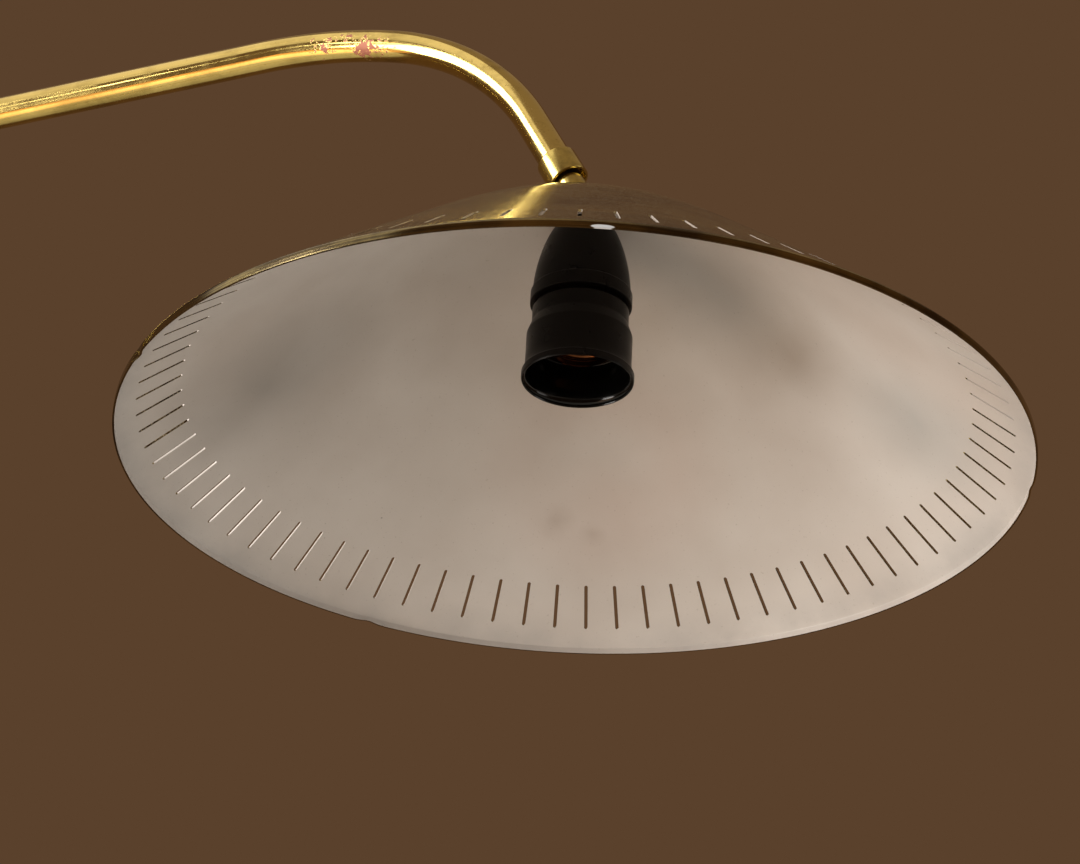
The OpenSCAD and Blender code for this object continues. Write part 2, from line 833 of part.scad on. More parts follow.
module swivel_bush() {
    color(dull_brass)
        on_stem()
            difference() {
                union() {
                    translate([0, 0, tube_end_w - bush_flange_t])
                        cylinder(r = arm_r, h = bush_flange_t);
                    translate([0, 0, tube_end_w - bush_flange_t])
                        cylinder(r = arm_inner_r - seat_gap, h = journal_len + bush_flange_t);
                }
                translate([0, 0, tube_end_w - bush_flange_t - cut])
                    cylinder(r = journal_r + run_gap, h = journal_len + bush_flange_t + 2 * cut);
            }
}

// ---- Head joint ----
module head_stem() {
    color(polished)
        on_stem()
            difference() {
                union() {
                    cylinder(r = stem_r, h = stem_shoulder);
                    intersection() {
                        translate([0, 0, -stem_r])
                            cylinder(r = stem_r, h = stem_r + 1);
                        shaft_y(stem_r, -stem_r, stem_r);
                    }
                    cylinder(r = journal_r, h = bush_top + 2 * run_gap + stem_nut_h);
                }
                translate([-2 * stem_r, -fork_gap, -2 * stem_r])
                    cube([4 * stem_r, 2 * fork_gap, 3 * stem_r + loose_gap]);
                shaft_y(pivot_screw_d / 2 + seat_gap, -2 * stem_r, 2 * stem_r);
                shaft_y(screw_head_r + 0.1, -2 * stem_r, -screw_seat);
                shaft_y(screw_head_r + 0.1, screw_seat, 2 * stem_r);
                cylinder(d = lead_bore_d, h = 2 * bush_top);
            }
}

module stem_nut() {
    color("silver")
        on_stem()
            pipe(arm_inner_r - loose_gap, journal_r + seat_gap,
                bush_top + 2 * run_gap, bush_top + 2 * run_gap + stem_nut_h);
}

module pivot_screws() {
    tip_y = tongue_w / 2 - tip_depth + 0.1;
    color("silver")
        on_stem()
            for (side = [0, 180])
                rotate([0, 0, side])
                    difference() {
                        union() {
                            shaft_y(screw_head_r, screw_seat, screw_seat + screw_head_t);
                            shaft_y(pivot_screw_d / 2, fork_gap, screw_seat + 0.5);
                            shaft_y(pivot_tip_d / 2, tip_y, fork_gap + 0.5);
                        }
                        translate([-stem_r, screw_seat + screw_head_t / 2, -0.4])
                            cube([2 * stem_r, screw_head_t, 0.8]);
                    }
}

// The tongue's holes are blind, so the lead's bore between them stays free
module head_knuckle() {
    web = 4.6;
    color(polished)
        translate([pivot_2[0], 0, pivot_2[1]])
            difference() {
                union() {
                    shaft_y(hub_2_r, -tongue_w / 2, tongue_w / 2);
                    translate([-web, -tongue_w / 2, -flange_top - 0.1])
                        cube([2 * web, tongue_w, flange_top + 0.1]);
                    translate([0, 0, -flange_top - flange_t])
                        cylinder(r = flange_r, h = flange_t);
                    translate([0, 0, -crown_drop - shade_t - shank_len])
                        cylinder(d = shank_d, h = crown_drop - flange_top + shade_t + shank_len);
                }
                translate([0, 0, -2 * crown_drop - shank_len])
                    cylinder(d = lead_bore_d, h = 4 * crown_drop);
                shaft_y(pivot_tip_d / 2 + run_gap, tongue_w / 2 - tip_depth, tongue_w);
                shaft_y(pivot_tip_d / 2 + run_gap, -tongue_w, tip_depth - tongue_w / 2);
            }
}

module crown_washer() {
    color(polished)
        on_shade()
            pipe(crown_washer_d / 2, shank_d / 2 + run_gap, shade_h, shade_h + crown_washer_t);
}

// ---- Shade ----
module shade() {
    slot_r = lip_end[0] - (slot_margin + slot_len / 2) * cos(flank_angle);
    slot_z = lip_end[1] + (slot_margin + slot_len / 2) * sin(flank_angle);
    inner_line = [for (p = shade_line) [p[0] - shade_t * sin(p[2]), p[1] - shade_t * cos(p[2])]];
    color(dull_brass)
        on_shade()
            difference() {
                rotate_extrude($fn = 180, convexity = 6)
                    polygon(concat([for (p = shade_line) [p[0], p[1]]], reversed(inner_line)));
                for (i = [0 : slot_count - 1])
                    rotate([0, 0, i * 360 / slot_count])
                        translate([slot_r, 0, slot_z])
                            rotate([0, flank_angle, 0])
                                linear_extrude(height = 6 * shade_t, center = true) {
                                    square([slot_len - slot_w, slot_w], center = true);
                                    for (end = [-1, 1])
                                        translate([end * (slot_len - slot_w) / 2, 0])
                                            circle(d = slot_w, $fn = 16);
                                }
            }
}

// ---- Lampholder ----
module holder_cap() {
    color(bakelite)
        on_holder()
            difference() {
                rotate_extrude()
                    polygon(concat(
                        [[0, 0]],
                        cap_dome(0),
                        [[cap_r, -dome_base_drop - 0.6], [cap_r, -cap_h + 0.5],
                         [cap_r - 0.5, -cap_h], [0, -cap_h]]));
                difference() {
                    union() {
                        rotate_extrude()
                            polygon(concat(
                                [[0, -cap_wall]],
                                [for (p = cap_dome(cap_wall)) [p[0], p[1] - cap_wall]],
                                [[0, -dome_base_drop - cap_wall]]));
                        translate([0, 0, -cap_h - cut])
                            cylinder(r = neck_r, h = cap_h - dome_base_drop + cut + 3);
                    }
                    translate([0, 0, -boss_h])
                        cylinder(r = boss_r, h = boss_h);
                }
                translate([0, 0, -boss_h - cut])
                    cylinder(r = shank_d / 2 + run_gap, h = boss_h + 2 * cut);
                translate([0, 0, -boss_h / 2])
                    shaft_y(1.5 + seat_gap, 0, cap_r);
            }
}

module cap_screw() {
    color("silver")
        on_holder()
            translate([0, 0, -boss_h / 2])
                shaft_y(1.5, shank_d / 2 + 0.1, shank_d / 2 + 7);
}

module holder_shell() {
    rim_round = 1.2;
    steps = 6;
    color(bakelite)
        on_holder()
            rotate_extrude(convexity = 6)
                polygon(concat(
                    [[shell_inner_r, -neck_top], [neck_r - run_gap, -neck_top],
                     [neck_r - run_gap, -cap_h], [shell_d / 2, -cap_h - 0.1],
                     [shell_d / 2, -cap_h - shoulder_drop],
                     [skirt_d / 2, -skirt_drop], [skirt_d / 2, -flare_drop]],
                    [for (i = [0 : steps])
                        let (a = 90 * i / steps)
                        [skirt_d / 2 + (mouth_d - skirt_d) / 2 * (1 - cos(a)),
                         -flare_drop - 6 * sin(a)]],
                    [for (i = [1 : steps])
                        let (a = 180 * i / steps)
                        [mouth_d / 2 - rim_round + rim_round * cos(a),
                         -holder_len + rim_round - rim_round * sin(a)]],
                    [[skirt_d / 2 - skirt_wall, -flare_drop - 3],
                     [skirt_d / 2 - skirt_wall, -ledge_drop - ledge_t],
                     [ledge_r, -ledge_drop - ledge_t], [ledge_r, -ledge_drop],
                     [shell_inner_r, -ledge_drop]]));
}

module holder_insert() {
    color(ceramic)
        on_holder()
            difference() {
                translate([0, 0, -ledge_drop])
                    cylinder(d = insert_d, h = ledge_drop - insert_top);
                translate([0, 0, -ledge_drop - cut])
                    cylinder(r = pocket_r, h = ledge_drop - pocket_top + cut);
                for (side = [-1, 1])
                    translate([side * terminal_x, 0, -pocket_top - cut])
                        cylinder(r = 1.6, h = pocket_top);
            }
}

module screw_shell() {
    color(polished)
        on_holder()
            difference() {
                translate([0, 0, -shell_low])
                    cylinder(r = bulb_bore_d / 2 + bulb_shell_t, h = bulb_shell_len);
                translate([0, 0, -shell_low - cut])
                    cylinder(r = bulb_bore_d / 2, h = bulb_shell_len + 2 * cut);
            }
}

module centre_contact() {
    button_h = 0.3;
    color(polished)
        on_holder()
            translate([0, 0, -pocket_top]) {
                translate([-terminal_x - 2, -2.5, -contact_t])
                    cube([terminal_x + 5, 5, contact_t]);
                translate([0, 0, -contact_t - button_h])
                    cylinder(r = 2, h = button_h + 0.1);
            }
}

module side_contact() {
    half_w = 2.5;
    inner_x = terminal_x - 3;
    reach = sqrt(pow(bulb_bore_d / 2 + bulb_shell_t, 2) - pow(half_w, 2));
    color(polished)
        on_holder()
            translate([inner_x, -half_w, -shell_top])
                cube([reach - inner_x, 2 * half_w, shell_top - pocket_top]);
}

module terminal_screws() {
    color("silver")
        on_holder()
            for (side = [-1, 1])
                translate([side * terminal_x, 0, 0]) {
                    translate([0, 0, -insert_top])
                        cylinder(r = 2.8, h = 1.8);
                    translate([0, 0, -pocket_top + 0.1])
                        cylinder(r = 1.5, h = pocket_top - insert_top);
                }
}

felt_pad();
base_weight();
base_cover();
inlet_bush();
base_stud();
base_washer();
base_nut();
pole_foot();
lower_tube();
tube_plug();
clamp_collar();
guide_bush();
collar_screw();
height_screw();
upper_tube();
slider_bush();
swivel_socket();
stop_screw();
swivel_fork();
thrust_washer();
swivel_washer();
swivel_nut();
pivot_bolt();
friction_washers();
spring_washer();
tilt_knob();
arm_knuckle();
arm_tube();
ferrule_screw();
head_collar();
swivel_bush();
head_stem();
stem_nut();
pivot_screws();
head_knuckle();
crown_washer();
shade();
holder_cap();
cap_screw();
holder_shell();
holder_insert();
screw_shell();
centre_contact();
side_contact();
terminal_screws();
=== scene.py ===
# %% [markdown]
# # Dressing a brass bridge lamp
# A bridge lamp carries its shade at the end of a long arm, so that the light falls over a table or
# a book. The arm, the pole and the base of this one are brass. The shade is spun from brass sheet,
# lacquered white inside and pierced near its rim with a ring of slots.
#
# The CAD model already gives every piece its place and its size. This lesson loads that model as a
# fixed frame and makes a smoother, better finished surface for each piece that shows. Sizes are
# written in millimetres, as a drawing has them, and are turned to metres when a mesh is made.

# %% Open the frame
import json

import bpy
import numpy as np
from mathutils import Matrix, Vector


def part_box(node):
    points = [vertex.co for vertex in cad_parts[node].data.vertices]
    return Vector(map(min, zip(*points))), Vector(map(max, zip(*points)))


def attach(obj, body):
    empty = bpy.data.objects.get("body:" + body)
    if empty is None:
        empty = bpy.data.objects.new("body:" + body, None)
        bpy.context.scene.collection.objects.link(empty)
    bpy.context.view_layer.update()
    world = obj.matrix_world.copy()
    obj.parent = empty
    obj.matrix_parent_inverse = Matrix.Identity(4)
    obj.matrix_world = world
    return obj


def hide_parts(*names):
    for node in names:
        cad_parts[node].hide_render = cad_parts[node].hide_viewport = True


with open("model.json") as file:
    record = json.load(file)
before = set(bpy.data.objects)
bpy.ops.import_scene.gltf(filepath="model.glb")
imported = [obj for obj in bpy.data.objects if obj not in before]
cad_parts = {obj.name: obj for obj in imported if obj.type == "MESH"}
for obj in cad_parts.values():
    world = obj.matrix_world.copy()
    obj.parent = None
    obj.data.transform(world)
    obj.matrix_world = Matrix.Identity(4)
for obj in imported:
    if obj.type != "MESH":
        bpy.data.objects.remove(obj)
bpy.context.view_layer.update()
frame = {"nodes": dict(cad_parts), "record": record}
MM = 0.001

# %% [markdown]
# ## Surfaces as arrays
# Nearly every piece of a lamp is either turned on a lathe or drawn through a die. Both are surfaces
# of two parameters: a profile point goes round an axis, or a section goes along a path. A grid of
# points holds such a surface. Its columns close on themselves, and its rows either end at a pole
# or close on themselves too, as the wall of a tube does. All rows are worked out at once.


# %% A grid of points becomes vertices and faces
def woven(grid, ring=False):
    """Vertices and faces of a grid of (rows, columns, 3) points, in millimetres.

    Columns always close. With ring, the last row joins the first, as in a tube with a wall.
    A row whose points all coincide is a pole, and its faces become triangles."""
    rows, columns = grid.shape[:2]
    index = np.arange(rows * columns).reshape(rows, columns)
    width = np.ptp(grid, axis=1).max(axis=1)
    index[width < 1e-7] = index[width < 1e-7, :1]
    low, high = (index, np.roll(index, -1, 0)) if ring else (index[:-1], index[1:])
    quads = np.stack([low, np.roll(low, -1, 1), np.roll(high, -1, 1), high], -1).reshape(-1, 4)
    return grid.reshape(-1, 3), quads


def capped(grid):
    """Closes a stack of outlines by adding the middle of its first and its last row as poles."""
    poles = [np.repeat(row.mean(0, keepdims=True), grid.shape[1], 0) for row in (grid[0], grid[-1])]
    return np.concatenate([poles[:1], grid, poles[1:]])


def tidied(points, quads):
    """Drops repeated corners and unused points, and turns the faces so that they point outwards.

    The signed volume, a sixth of the sum of a . (b x c) over the triangles, tells which way."""
    spread = quads[:, [0, 1, 2, 0, 2, 3]].reshape(-1, 3)
    a, b, c = points[spread[:, 0]], points[spread[:, 1]], points[spread[:, 2]]
    if np.einsum("ij,ij->i", a, np.cross(b, c)).sum() < 0:
        quads = quads[:, ::-1]
    used, back = np.unique(quads, return_inverse=True)
    quads = back.reshape(quads.shape)
    same = quads == np.roll(quads, -1, 1)
    whole = quads[~same.any(1)].tolist()
    fans = quads[same.sum(1) == 1]
    keep = ~(fans == np.roll(fans, -1, 1))
    return points[used], whole + fans[keep].reshape(-1, 3).tolist()


# %% [markdown]
# ## From arrays to a piece
# A finished piece has its object at the origin, so its place is in its vertices, as it is for a CAD
# node. Smooth shading would round off a machined corner, so edges that turn by more than a set
# angle are marked sharp. Spun and turned metal also gets a UV map whose U runs round its axis,
# because the marks of the tool follow that direction.


# %% One piece from one or more surfaces
def wound(mesh, axis):
    """A UV map: U is the angle round the upright axis, as a share of a turn, and V the radius in m.

    U is unwrapped within each face, so that the face at the seam doesn't run back round."""
    corners = np.empty(len(mesh.loops), np.int32)
    mesh.loops.foreach_get("vertex_index", corners)
    points = np.empty(len(mesh.vertices) * 3)
    mesh.vertices.foreach_get("co", points)
    points = points.reshape(-1, 3) - np.array([axis[0], axis[1], 0.0]) * MM
    turn = (np.arctan2(points[:, 1], points[:, 0]) / (2 * np.pi))[corners]
    starts, totals = np.empty((2, len(mesh.polygons)), np.int32)
    mesh.polygons.foreach_get("loop_start", starts)
    mesh.polygons.foreach_get("loop_total", totals)
    first = np.repeat(turn[starts], totals)
    turn = first + (turn - first + 0.5) % 1.0 - 0.5
    radius = np.hypot(points[:, 0], points[:, 1])[corners]
    height = points[:, 2][corners]
    uv = np.stack([turn, radius + height], -1).ravel().astype(np.float32)
    mesh.uv_layers.new(name="around").data.foreach_set("uv", uv)


def piece(name, surfaces, finish, body, node, sharp=32.0, axis=(0.0, 0.0)):
    """Joins surfaces, each (points in mm, quads), into one object that stands for a CAD node.

    It rides on the body that is named, and takes the finish that it is given."""
    made = [tidied(points, quads) for points, quads in surfaces]
    starts = np.cumsum([0] + [len(points) for points, _ in made[:-1]])
    faces = [[corner + int(start) for corner in face]
             for (_, some), start in zip(made, starts) for face in some]
    mesh = bpy.data.meshes.new(name)
    mesh.from_pydata(np.vstack([points for points, _ in made]) * MM, [], faces)
    mesh.validate()
    mesh.polygons.foreach_set("use_smooth", np.ones(len(mesh.polygons), bool))
    mesh.set_sharp_from_angle(angle=np.radians(sharp))
    wound(mesh, axis)
    mesh.materials.append(finish)
    made_object = bpy.data.objects.new(name, mesh)
    bpy.context.scene.collection.objects.link(made_object)
    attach(made_object, body)
    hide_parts(node)
    print(f"{name}: {len(mesh.vertices)} points, {len(mesh.polygons)} faces on {body}")
    return made_object


# %% [markdown]
# ## Profiles, plates and places
# A real edge is never a knife edge: a lathe hand breaks it with a file, and a press leaves a
# radius. That small rounding catches the light, so every profile gets it. Each corner is replaced
# by the parabola that starts and ends a short way before and after it. Flat pieces are outlines
# carried through their thickness, and get the same rounding at both faces.


# %% Rounded corners, turned shapes and plates
def turn_of(columns):
    """Angles at equal steps round one turn."""
    return np.linspace(0, 2 * np.pi, columns, endpoint=False)


def round_z(r, u, z):
    """The points (r cos u, r sin u, z), for arrays of radii, angles and heights."""
    return np.stack([r * np.cos(u), r * np.sin(u), z + 0 * u], -1)


def softened(profile, reach, steps=4, ring=False):
    """Rounds the corners of a profile of (radius, height) points.

    A corner P becomes (1-t)^2 A + 2t(1-t) P + t^2 B, where A and B lie `reach` before and after
    P, or less where the neighbours are near. With ring, the profile is closed."""
    p = np.asarray(profile, float)
    if ring:
        p = np.vstack([p[-1:], p, p[:1]])
    back, ahead = p[:-2] - p[1:-1], p[2:] - p[1:-1]
    far_back = np.linalg.norm(back, axis=1)[:, None]
    far_ahead = np.linalg.norm(ahead, axis=1)[:, None]
    a = p[1:-1] + back / far_back * np.minimum(reach, 0.45 * far_back)
    b = p[1:-1] + ahead / far_ahead * np.minimum(reach, 0.45 * far_ahead)
    t = np.linspace(0, 1, steps + 1)[:, None, None]
    curve = (1 - t) ** 2 * a + 2 * t * (1 - t) * p[1:-1] + t**2 * b
    curve = curve.transpose(1, 0, 2).reshape(-1, 2)
    return curve if ring else np.vstack([p[:1], curve, p[-1:]])


def turned(profile, columns=96, flutes=0, dip=0.0):
    """Carries (radius, height) points round +Z: (r cos u, r sin u, z).

    With flutes, r falls by dip times cos(flutes u), where that is above 0, on the widest part."""
    u = turn_of(columns)
    r, z = np.asarray(profile, float).T[:, :, None]
    if flutes:
        widest = np.clip((r - r.max() + 1.6) / 1.2, 0, 1)
        r = r - dip * widest * np.clip(np.cos(flutes * u), 0, 1) ** 0.7
    return round_z(r, u, z)


def wall(profile, reach=0.3, columns=96, **flutes):
    """A turned ring: a closed profile that never touches the axis."""
    return woven(turned(softened(profile, reach, ring=True), columns, **flutes), ring=True)


def solid(profile, reach=0.3, columns=96, **flutes):
    """A turned solid: its profile starts and ends on the axis."""
    return woven(turned(softened(profile, reach), columns, **flutes))


def tube(bore_r, outer, low, high, reach):
    """A straight tube or a washer, from one height to another, with its edges broken."""
    return wall([(bore_r, low), (outer, low), (outer, high), (bore_r, high)], reach)


def slab(outline, low, high, edge=0.4, steps=4):
    """A plate: an (n, 2) outline carried from low to high along +Z, with rounded edges.

    At a distance edge (1 - cos a) from a face, the outline is smaller by edge (1 - sin a) all
    round, as a share of its half size. An outline may also be given for each of its levels."""
    a = np.linspace(0, np.pi / 2, steps + 1)
    inset, depth = edge * (1 - np.sin(a)), edge * (1 - np.cos(a))
    levels = np.concatenate([low + depth, high - depth[::-1]])
    insets = np.concatenate([inset, inset[::-1]])[:, None, None]
    flat = np.asarray(outline(levels) if callable(outline) else outline[None], float)
    middle = (flat.max(1, keepdims=True) + flat.min(1, keepdims=True)) / 2
    flat = middle + (flat - middle) * (1 - insets / np.ptp(flat, axis=1).max(1)[:, None, None] * 2)
    return woven(capped(np.concatenate([flat, 0 * flat[..., :1] + levels[:, None, None]], -1)))


def circle(radius, columns=64):
    """An outline: radius (cos u, sin u)."""
    u = turn_of(columns)
    return radius * np.stack([np.cos(u), np.sin(u)], -1)


def placed(surface, origin, direction):
    """Turns a surface so that +Z becomes direction, and then moves it to origin.

    Its X axis becomes Y x direction. Where direction is along Y, X becomes Z."""
    points, quads = surface
    z = np.array(direction, float) / np.linalg.norm(direction)
    side = np.array([0.0, 1.0, 0.0]) if abs(z[1]) < 0.9 else np.array([1.0, 0.0, 0.0])
    x = np.cross(side, z)
    x /= np.linalg.norm(x)
    return points @ np.stack([x, np.cross(z, x), z]) + np.array(origin, float), quads


# %% [markdown]
# ## Sizes of the lamp
# The frame gives where each node is, and these are the sizes that the surfaces are made from. The
# arm is one tube with two bends, and the head hangs from its end, 29 degrees off the plumb line.

# %% The arm's path and the two places of the head
TILT_AXIS = 1380.0
ARM_R, ARM_WALL = 7.0, 1.0
RISE, STRAIGHT, TAIL = 1.5, 314.0, 37.0
BENDS = ((230.0, 16.0), (107.0, 46.5))
SKIRT_DEPTH, STEM_DROP = 5.2, 16.5


def heading(degrees):
    """The unit vector (cos a, sin a) in the XZ plane."""
    a = np.radians(degrees)
    return np.array([np.cos(a), np.sin(a)])


def arm_path(start, step=2.0):
    """Points and directions of the arm's centreline, in the XZ plane.

    A straight part is P + s h(a). A bend of radius R that starts at P with direction a is the arc
    C + R n(a), where n(a) is h(a + 90) and C = P - R n(a), and a falls as it goes."""
    at, a = np.array([0.0, TILT_AXIS]), RISE
    s = np.linspace(start, STRAIGHT, 60)
    points, angles = [at + s[:, None] * heading(a)], [np.full(len(s), a)]
    at = at + STRAIGHT * heading(a)
    for radius, turn in BENDS:
        centre = at - radius * heading(a + 90)
        sweep = a - np.linspace(0, turn, int(radius * np.radians(turn) / step) + 2)[1:]
        points.append(centre + radius * heading(sweep + 90).T)
        angles.append(sweep)
        at, a = points[-1][-1], a - turn
    s = np.linspace(0, TAIL - SKIRT_DEPTH, 14)[1:]
    points.append(at + s[:, None] * heading(a))
    angles.append(np.full(len(s), a))
    return np.vstack(points), np.concatenate(angles), at + (TAIL + STEM_DROP) * heading(a), a


path, path_angle, pivot, end_angle = arm_path(25.0)
LEAN = 90.0 + end_angle
stem_up = np.array([-np.sin(np.radians(LEAN)), 0.0, np.cos(np.radians(LEAN))])
pivot_3d = np.array([pivot[0], 0.0, pivot[1]])
RIM_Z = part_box("shade")[0].z / MM
CROWN_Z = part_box("shade")[1].z / MM
AXIS_X = pivot[0]
print(f"head pivot at {pivot.round(2)} mm, lean {LEAN:.1f} degrees, rim at {RIM_Z:.2f} mm")

# %% [markdown]
# ## Colours and nodes
# Colours are written as sRGB hex values, the way a colour card gives them, and one function turns
# them to the linear values that the shader works with. One small function adds a node of any kind.
# Its inputs are given in their order or by name, as numbers, colours or other nodes' outputs.


# %% Small helpers for materials
def linear(code):
    """An sRGB hex code as linear RGBA: c / 12.92 below 0.04045, else ((c + 0.055) / 1.055)^2.4."""
    c = np.array([int(code[i : i + 2], 16) for i in (1, 3, 5)]) / 255
    c = np.where(c <= 0.04045, c / 12.92, ((c + 0.055) / 1.055) ** 2.4)
    return (*c.tolist(), 1.0)


def add(material, kind, *values, **settings):
    """Adds one shader node, fills its inputs, and returns its first working output.

    Values fill the inputs in order: numbers, vectors, hex colours or other nodes' outputs. A named
    setting with a capital, such as Height, is an input too, and the others are properties."""
    tree = material.node_tree
    node = tree.nodes.new("ShaderNode" + kind)
    for name, value in settings.items():
        if name.islower():
            setattr(node, name, value)
    sockets = [s for s in node.inputs if s.enabled]
    by_name = {s.name: s for s in sockets}
    named = [(by_name[name], value) for name, value in settings.items() if not name.islower()]
    for socket, value in [*zip(sockets, values), *named]:
        if isinstance(value, bpy.types.NodeSocket):
            tree.links.new(value, socket)
        else:
            socket.default_value = linear(value) if isinstance(value, str) else value
    return next((s for s in node.outputs if s.enabled), None)


def across(size_mm):
    """The Scale of a texture whose features are about size_mm across."""
    return 1 / (size_mm * MM)


def metres(*sizes_mm):
    """A place or a size for a node, which works in metres."""
    return tuple(size * MM for size in sizes_mm)


def new_finish(name, **shader):
    """A material with only a Principled shader, whose plain values are set on its own sockets.

    It returns the material, a function that feeds one of the shader's sockets, and the place."""
    material = bpy.data.materials.new(name)
    material.use_nodes = True
    surface = material.node_tree.nodes["Principled BSDF"]
    for socket, value in shader.items():
        surface.inputs[socket.replace("_", " ")].default_value = value

    def feed(socket, output):
        material.node_tree.links.new(output, surface.inputs[socket])

    return material, feed, add(material, "TexCoord").node.outputs["Object"]


# %% [markdown]
# ## Polished brass
# The arm, the pole and the turned fittings are drawn brass, polished and left without lacquer. What
# the eye sees is a lemon-gold mirror with three faults: faint draw lines, dull patches where hands
# and air have tarnished it, and small dark flecks. The tarnish changes the colour as well as the
# gloss, towards olive brown. Patches are 3 to 20 mm across, and draw lines are drawn 0.6 mm wide,
# which is coarser than real ones, so that they show.


# %% Brass that has been polished and handled
def brass(name, clean, tarnish, gloss, dull, along=(1.0, 1.0, 1.0), red=None):
    """Polished brass: large noise mixes in tarnish, fine noise mixes in flecks and draw lines.

    `along` is below 1 on the axis that the metal was drawn along, and `red` makes a mask, from the
    material and the place, of spots that are corroded."""
    material, feed, where = new_finish(name, Metallic=1.0)
    drawn = add(material, "Mapping", where, Scale=along)
    patches = add(material, "TexNoise", where, across(22), 7.0, 0.62, Distortion=0.5)
    cloudy = add(material, "TexNoise", drawn, across(3.5), 5.0, 0.65)
    flecks = add(material, "TexNoise", where, across(0.9), 3.0, 0.6)
    lines = add(material, "TexNoise", drawn, across(0.6), 3.0, 0.7)
    tarnished = add(material, "Math", add(material, "Math", patches, 0.65, operation="MULTIPLY"),
                    add(material, "Math", cloudy, 0.35, operation="MULTIPLY"), operation="ADD")
    tarnished = add(material, "MapRange", tarnished, 0.46, 0.62, 0.0, 0.6)
    flecks = add(material, "MapRange", flecks, 0.64, 0.72, 0.0, 0.7)
    aged = add(material, "Math", tarnished, flecks, operation="MAXIMUM")
    colour = add(material, "Mix", aged, clean, tarnish, data_type="RGBA")
    rough = add(material, "Math", lines, 0.25, operation="MULTIPLY")
    rough = add(material, "Math", aged, rough, operation="ADD")
    rough = add(material, "MapRange", rough, 0.0, 1.1, gloss, dull)
    height = lines
    if red:
        spots = red(material, where)
        pink = add(material, "Mix", cloudy, "#8E4F3C", "#C98A70", data_type="RGBA")
        colour = add(material, "Mix", spots, colour, pink, data_type="RGBA")
        matt = add(material, "Math", spots, 0.6, operation="MULTIPLY")
        rough = add(material, "Math", rough, matt, operation="MAXIMUM")
        raised = add(material, "Math", spots, 4.0, operation="MULTIPLY")
        height = add(material, "Math", lines, raised, operation="ADD")
        feed("Metallic", add(material, "MapRange", spots, 0.0, 1.0, 1.0, 0.45))
    feed("Base Color", colour)
    feed("Roughness", rough)
    feed("Normal", add(material, "Bump", Height=height, Distance=0.02 * MM, Strength=0.35))
    return material


turned_brass = brass("Turned and polished brass", "#E6CF78", "#9F8A4B", 0.13, 0.3)
pole_brass = brass("Drawn brass of the pole", "#E6CF78", "#9F8A4B", 0.12, 0.28, (1.0, 1.0, 0.04))
plain_brass = brass("Machined brass", "#C9B169", "#8C7945", 0.25, 0.4)
print("brass finishes:", turned_brass.name, pole_brass.name, plain_brass.name)

# %% [markdown]
# ## The arm's own brass
# The arm is the same brass, but bare metal was eaten near its bend: a patch of copper-coloured
# spots about 20 mm long, with a few small ones beside it, where the zinc has left the alloy. They
# are rough, slightly raised, and pinkish. The patch is a distance from a point on the tube's
# surface, broken up with noise, so it needs no drawn map.

# %% Copper-red corrosion near the bend
CORRODED = (  # x, y, z on the tube in mm, reach in mm, and how shy the spots are
    (358.0, -6.8, 1384.0, 7.0, 0.00),
    (366.0, -5.3, 1379.0, 9.0, -0.07),
    (373.0, -5.2, 1377.5, 10.0, 0.07),
    (346.5, -6.3, 1384.0, 11.0, 0.07),
)


def corroded(material, where):
    """1 in the corroded spots: noise above a level that rises with distance from each centre."""
    grains = add(material, "TexNoise", where, across(2.6), 5.0, 0.7)
    levels = []
    for *centre, reach, shy in CORRODED:
        apart = add(material, "VectorMath", where, metres(*centre), operation="DISTANCE")
        levels.append(add(material, "MapRange", apart, 0.0, reach * MM, 0.4 + shy, 0.7))
    lowest = levels[0]
    for level in levels[1:]:
        lowest = add(material, "Math", lowest, level, operation="MINIMUM")
    above = add(material, "Math", grains, lowest, operation="SUBTRACT")
    return add(material, "MapRange", above, 0.0, 0.02)


arm_brass = brass("Drawn brass of the arm", "#E8CE7A", "#9E8646", 0.1, 0.27, (0.08, 1.0, 1.0),
                  red=corroded)
print("corroded patches on the arm:", len(CORRODED))

# %% [markdown]
# ## Spun brass
# A spun sheet is pressed over a form while it turns, so its outside carries thousands of fine rings
# round the axis. Under a lamp they stretch each highlight into a bright line from crown to rim.
# Anisotropy does this, with its tangent from the UV map that runs round the piece. Age has dulled
# the shade to olive brown, with dust specks below a millimetre. The base's cover is spun the same
# way, but was polished more often. The rings are drawn 0.7 mm apart, which is coarser than real
# ones, and wider bands show where the tool paused.

# %% The shade's outside and the base's cover
RING_MM, DUST_MM = 0.7, 0.6


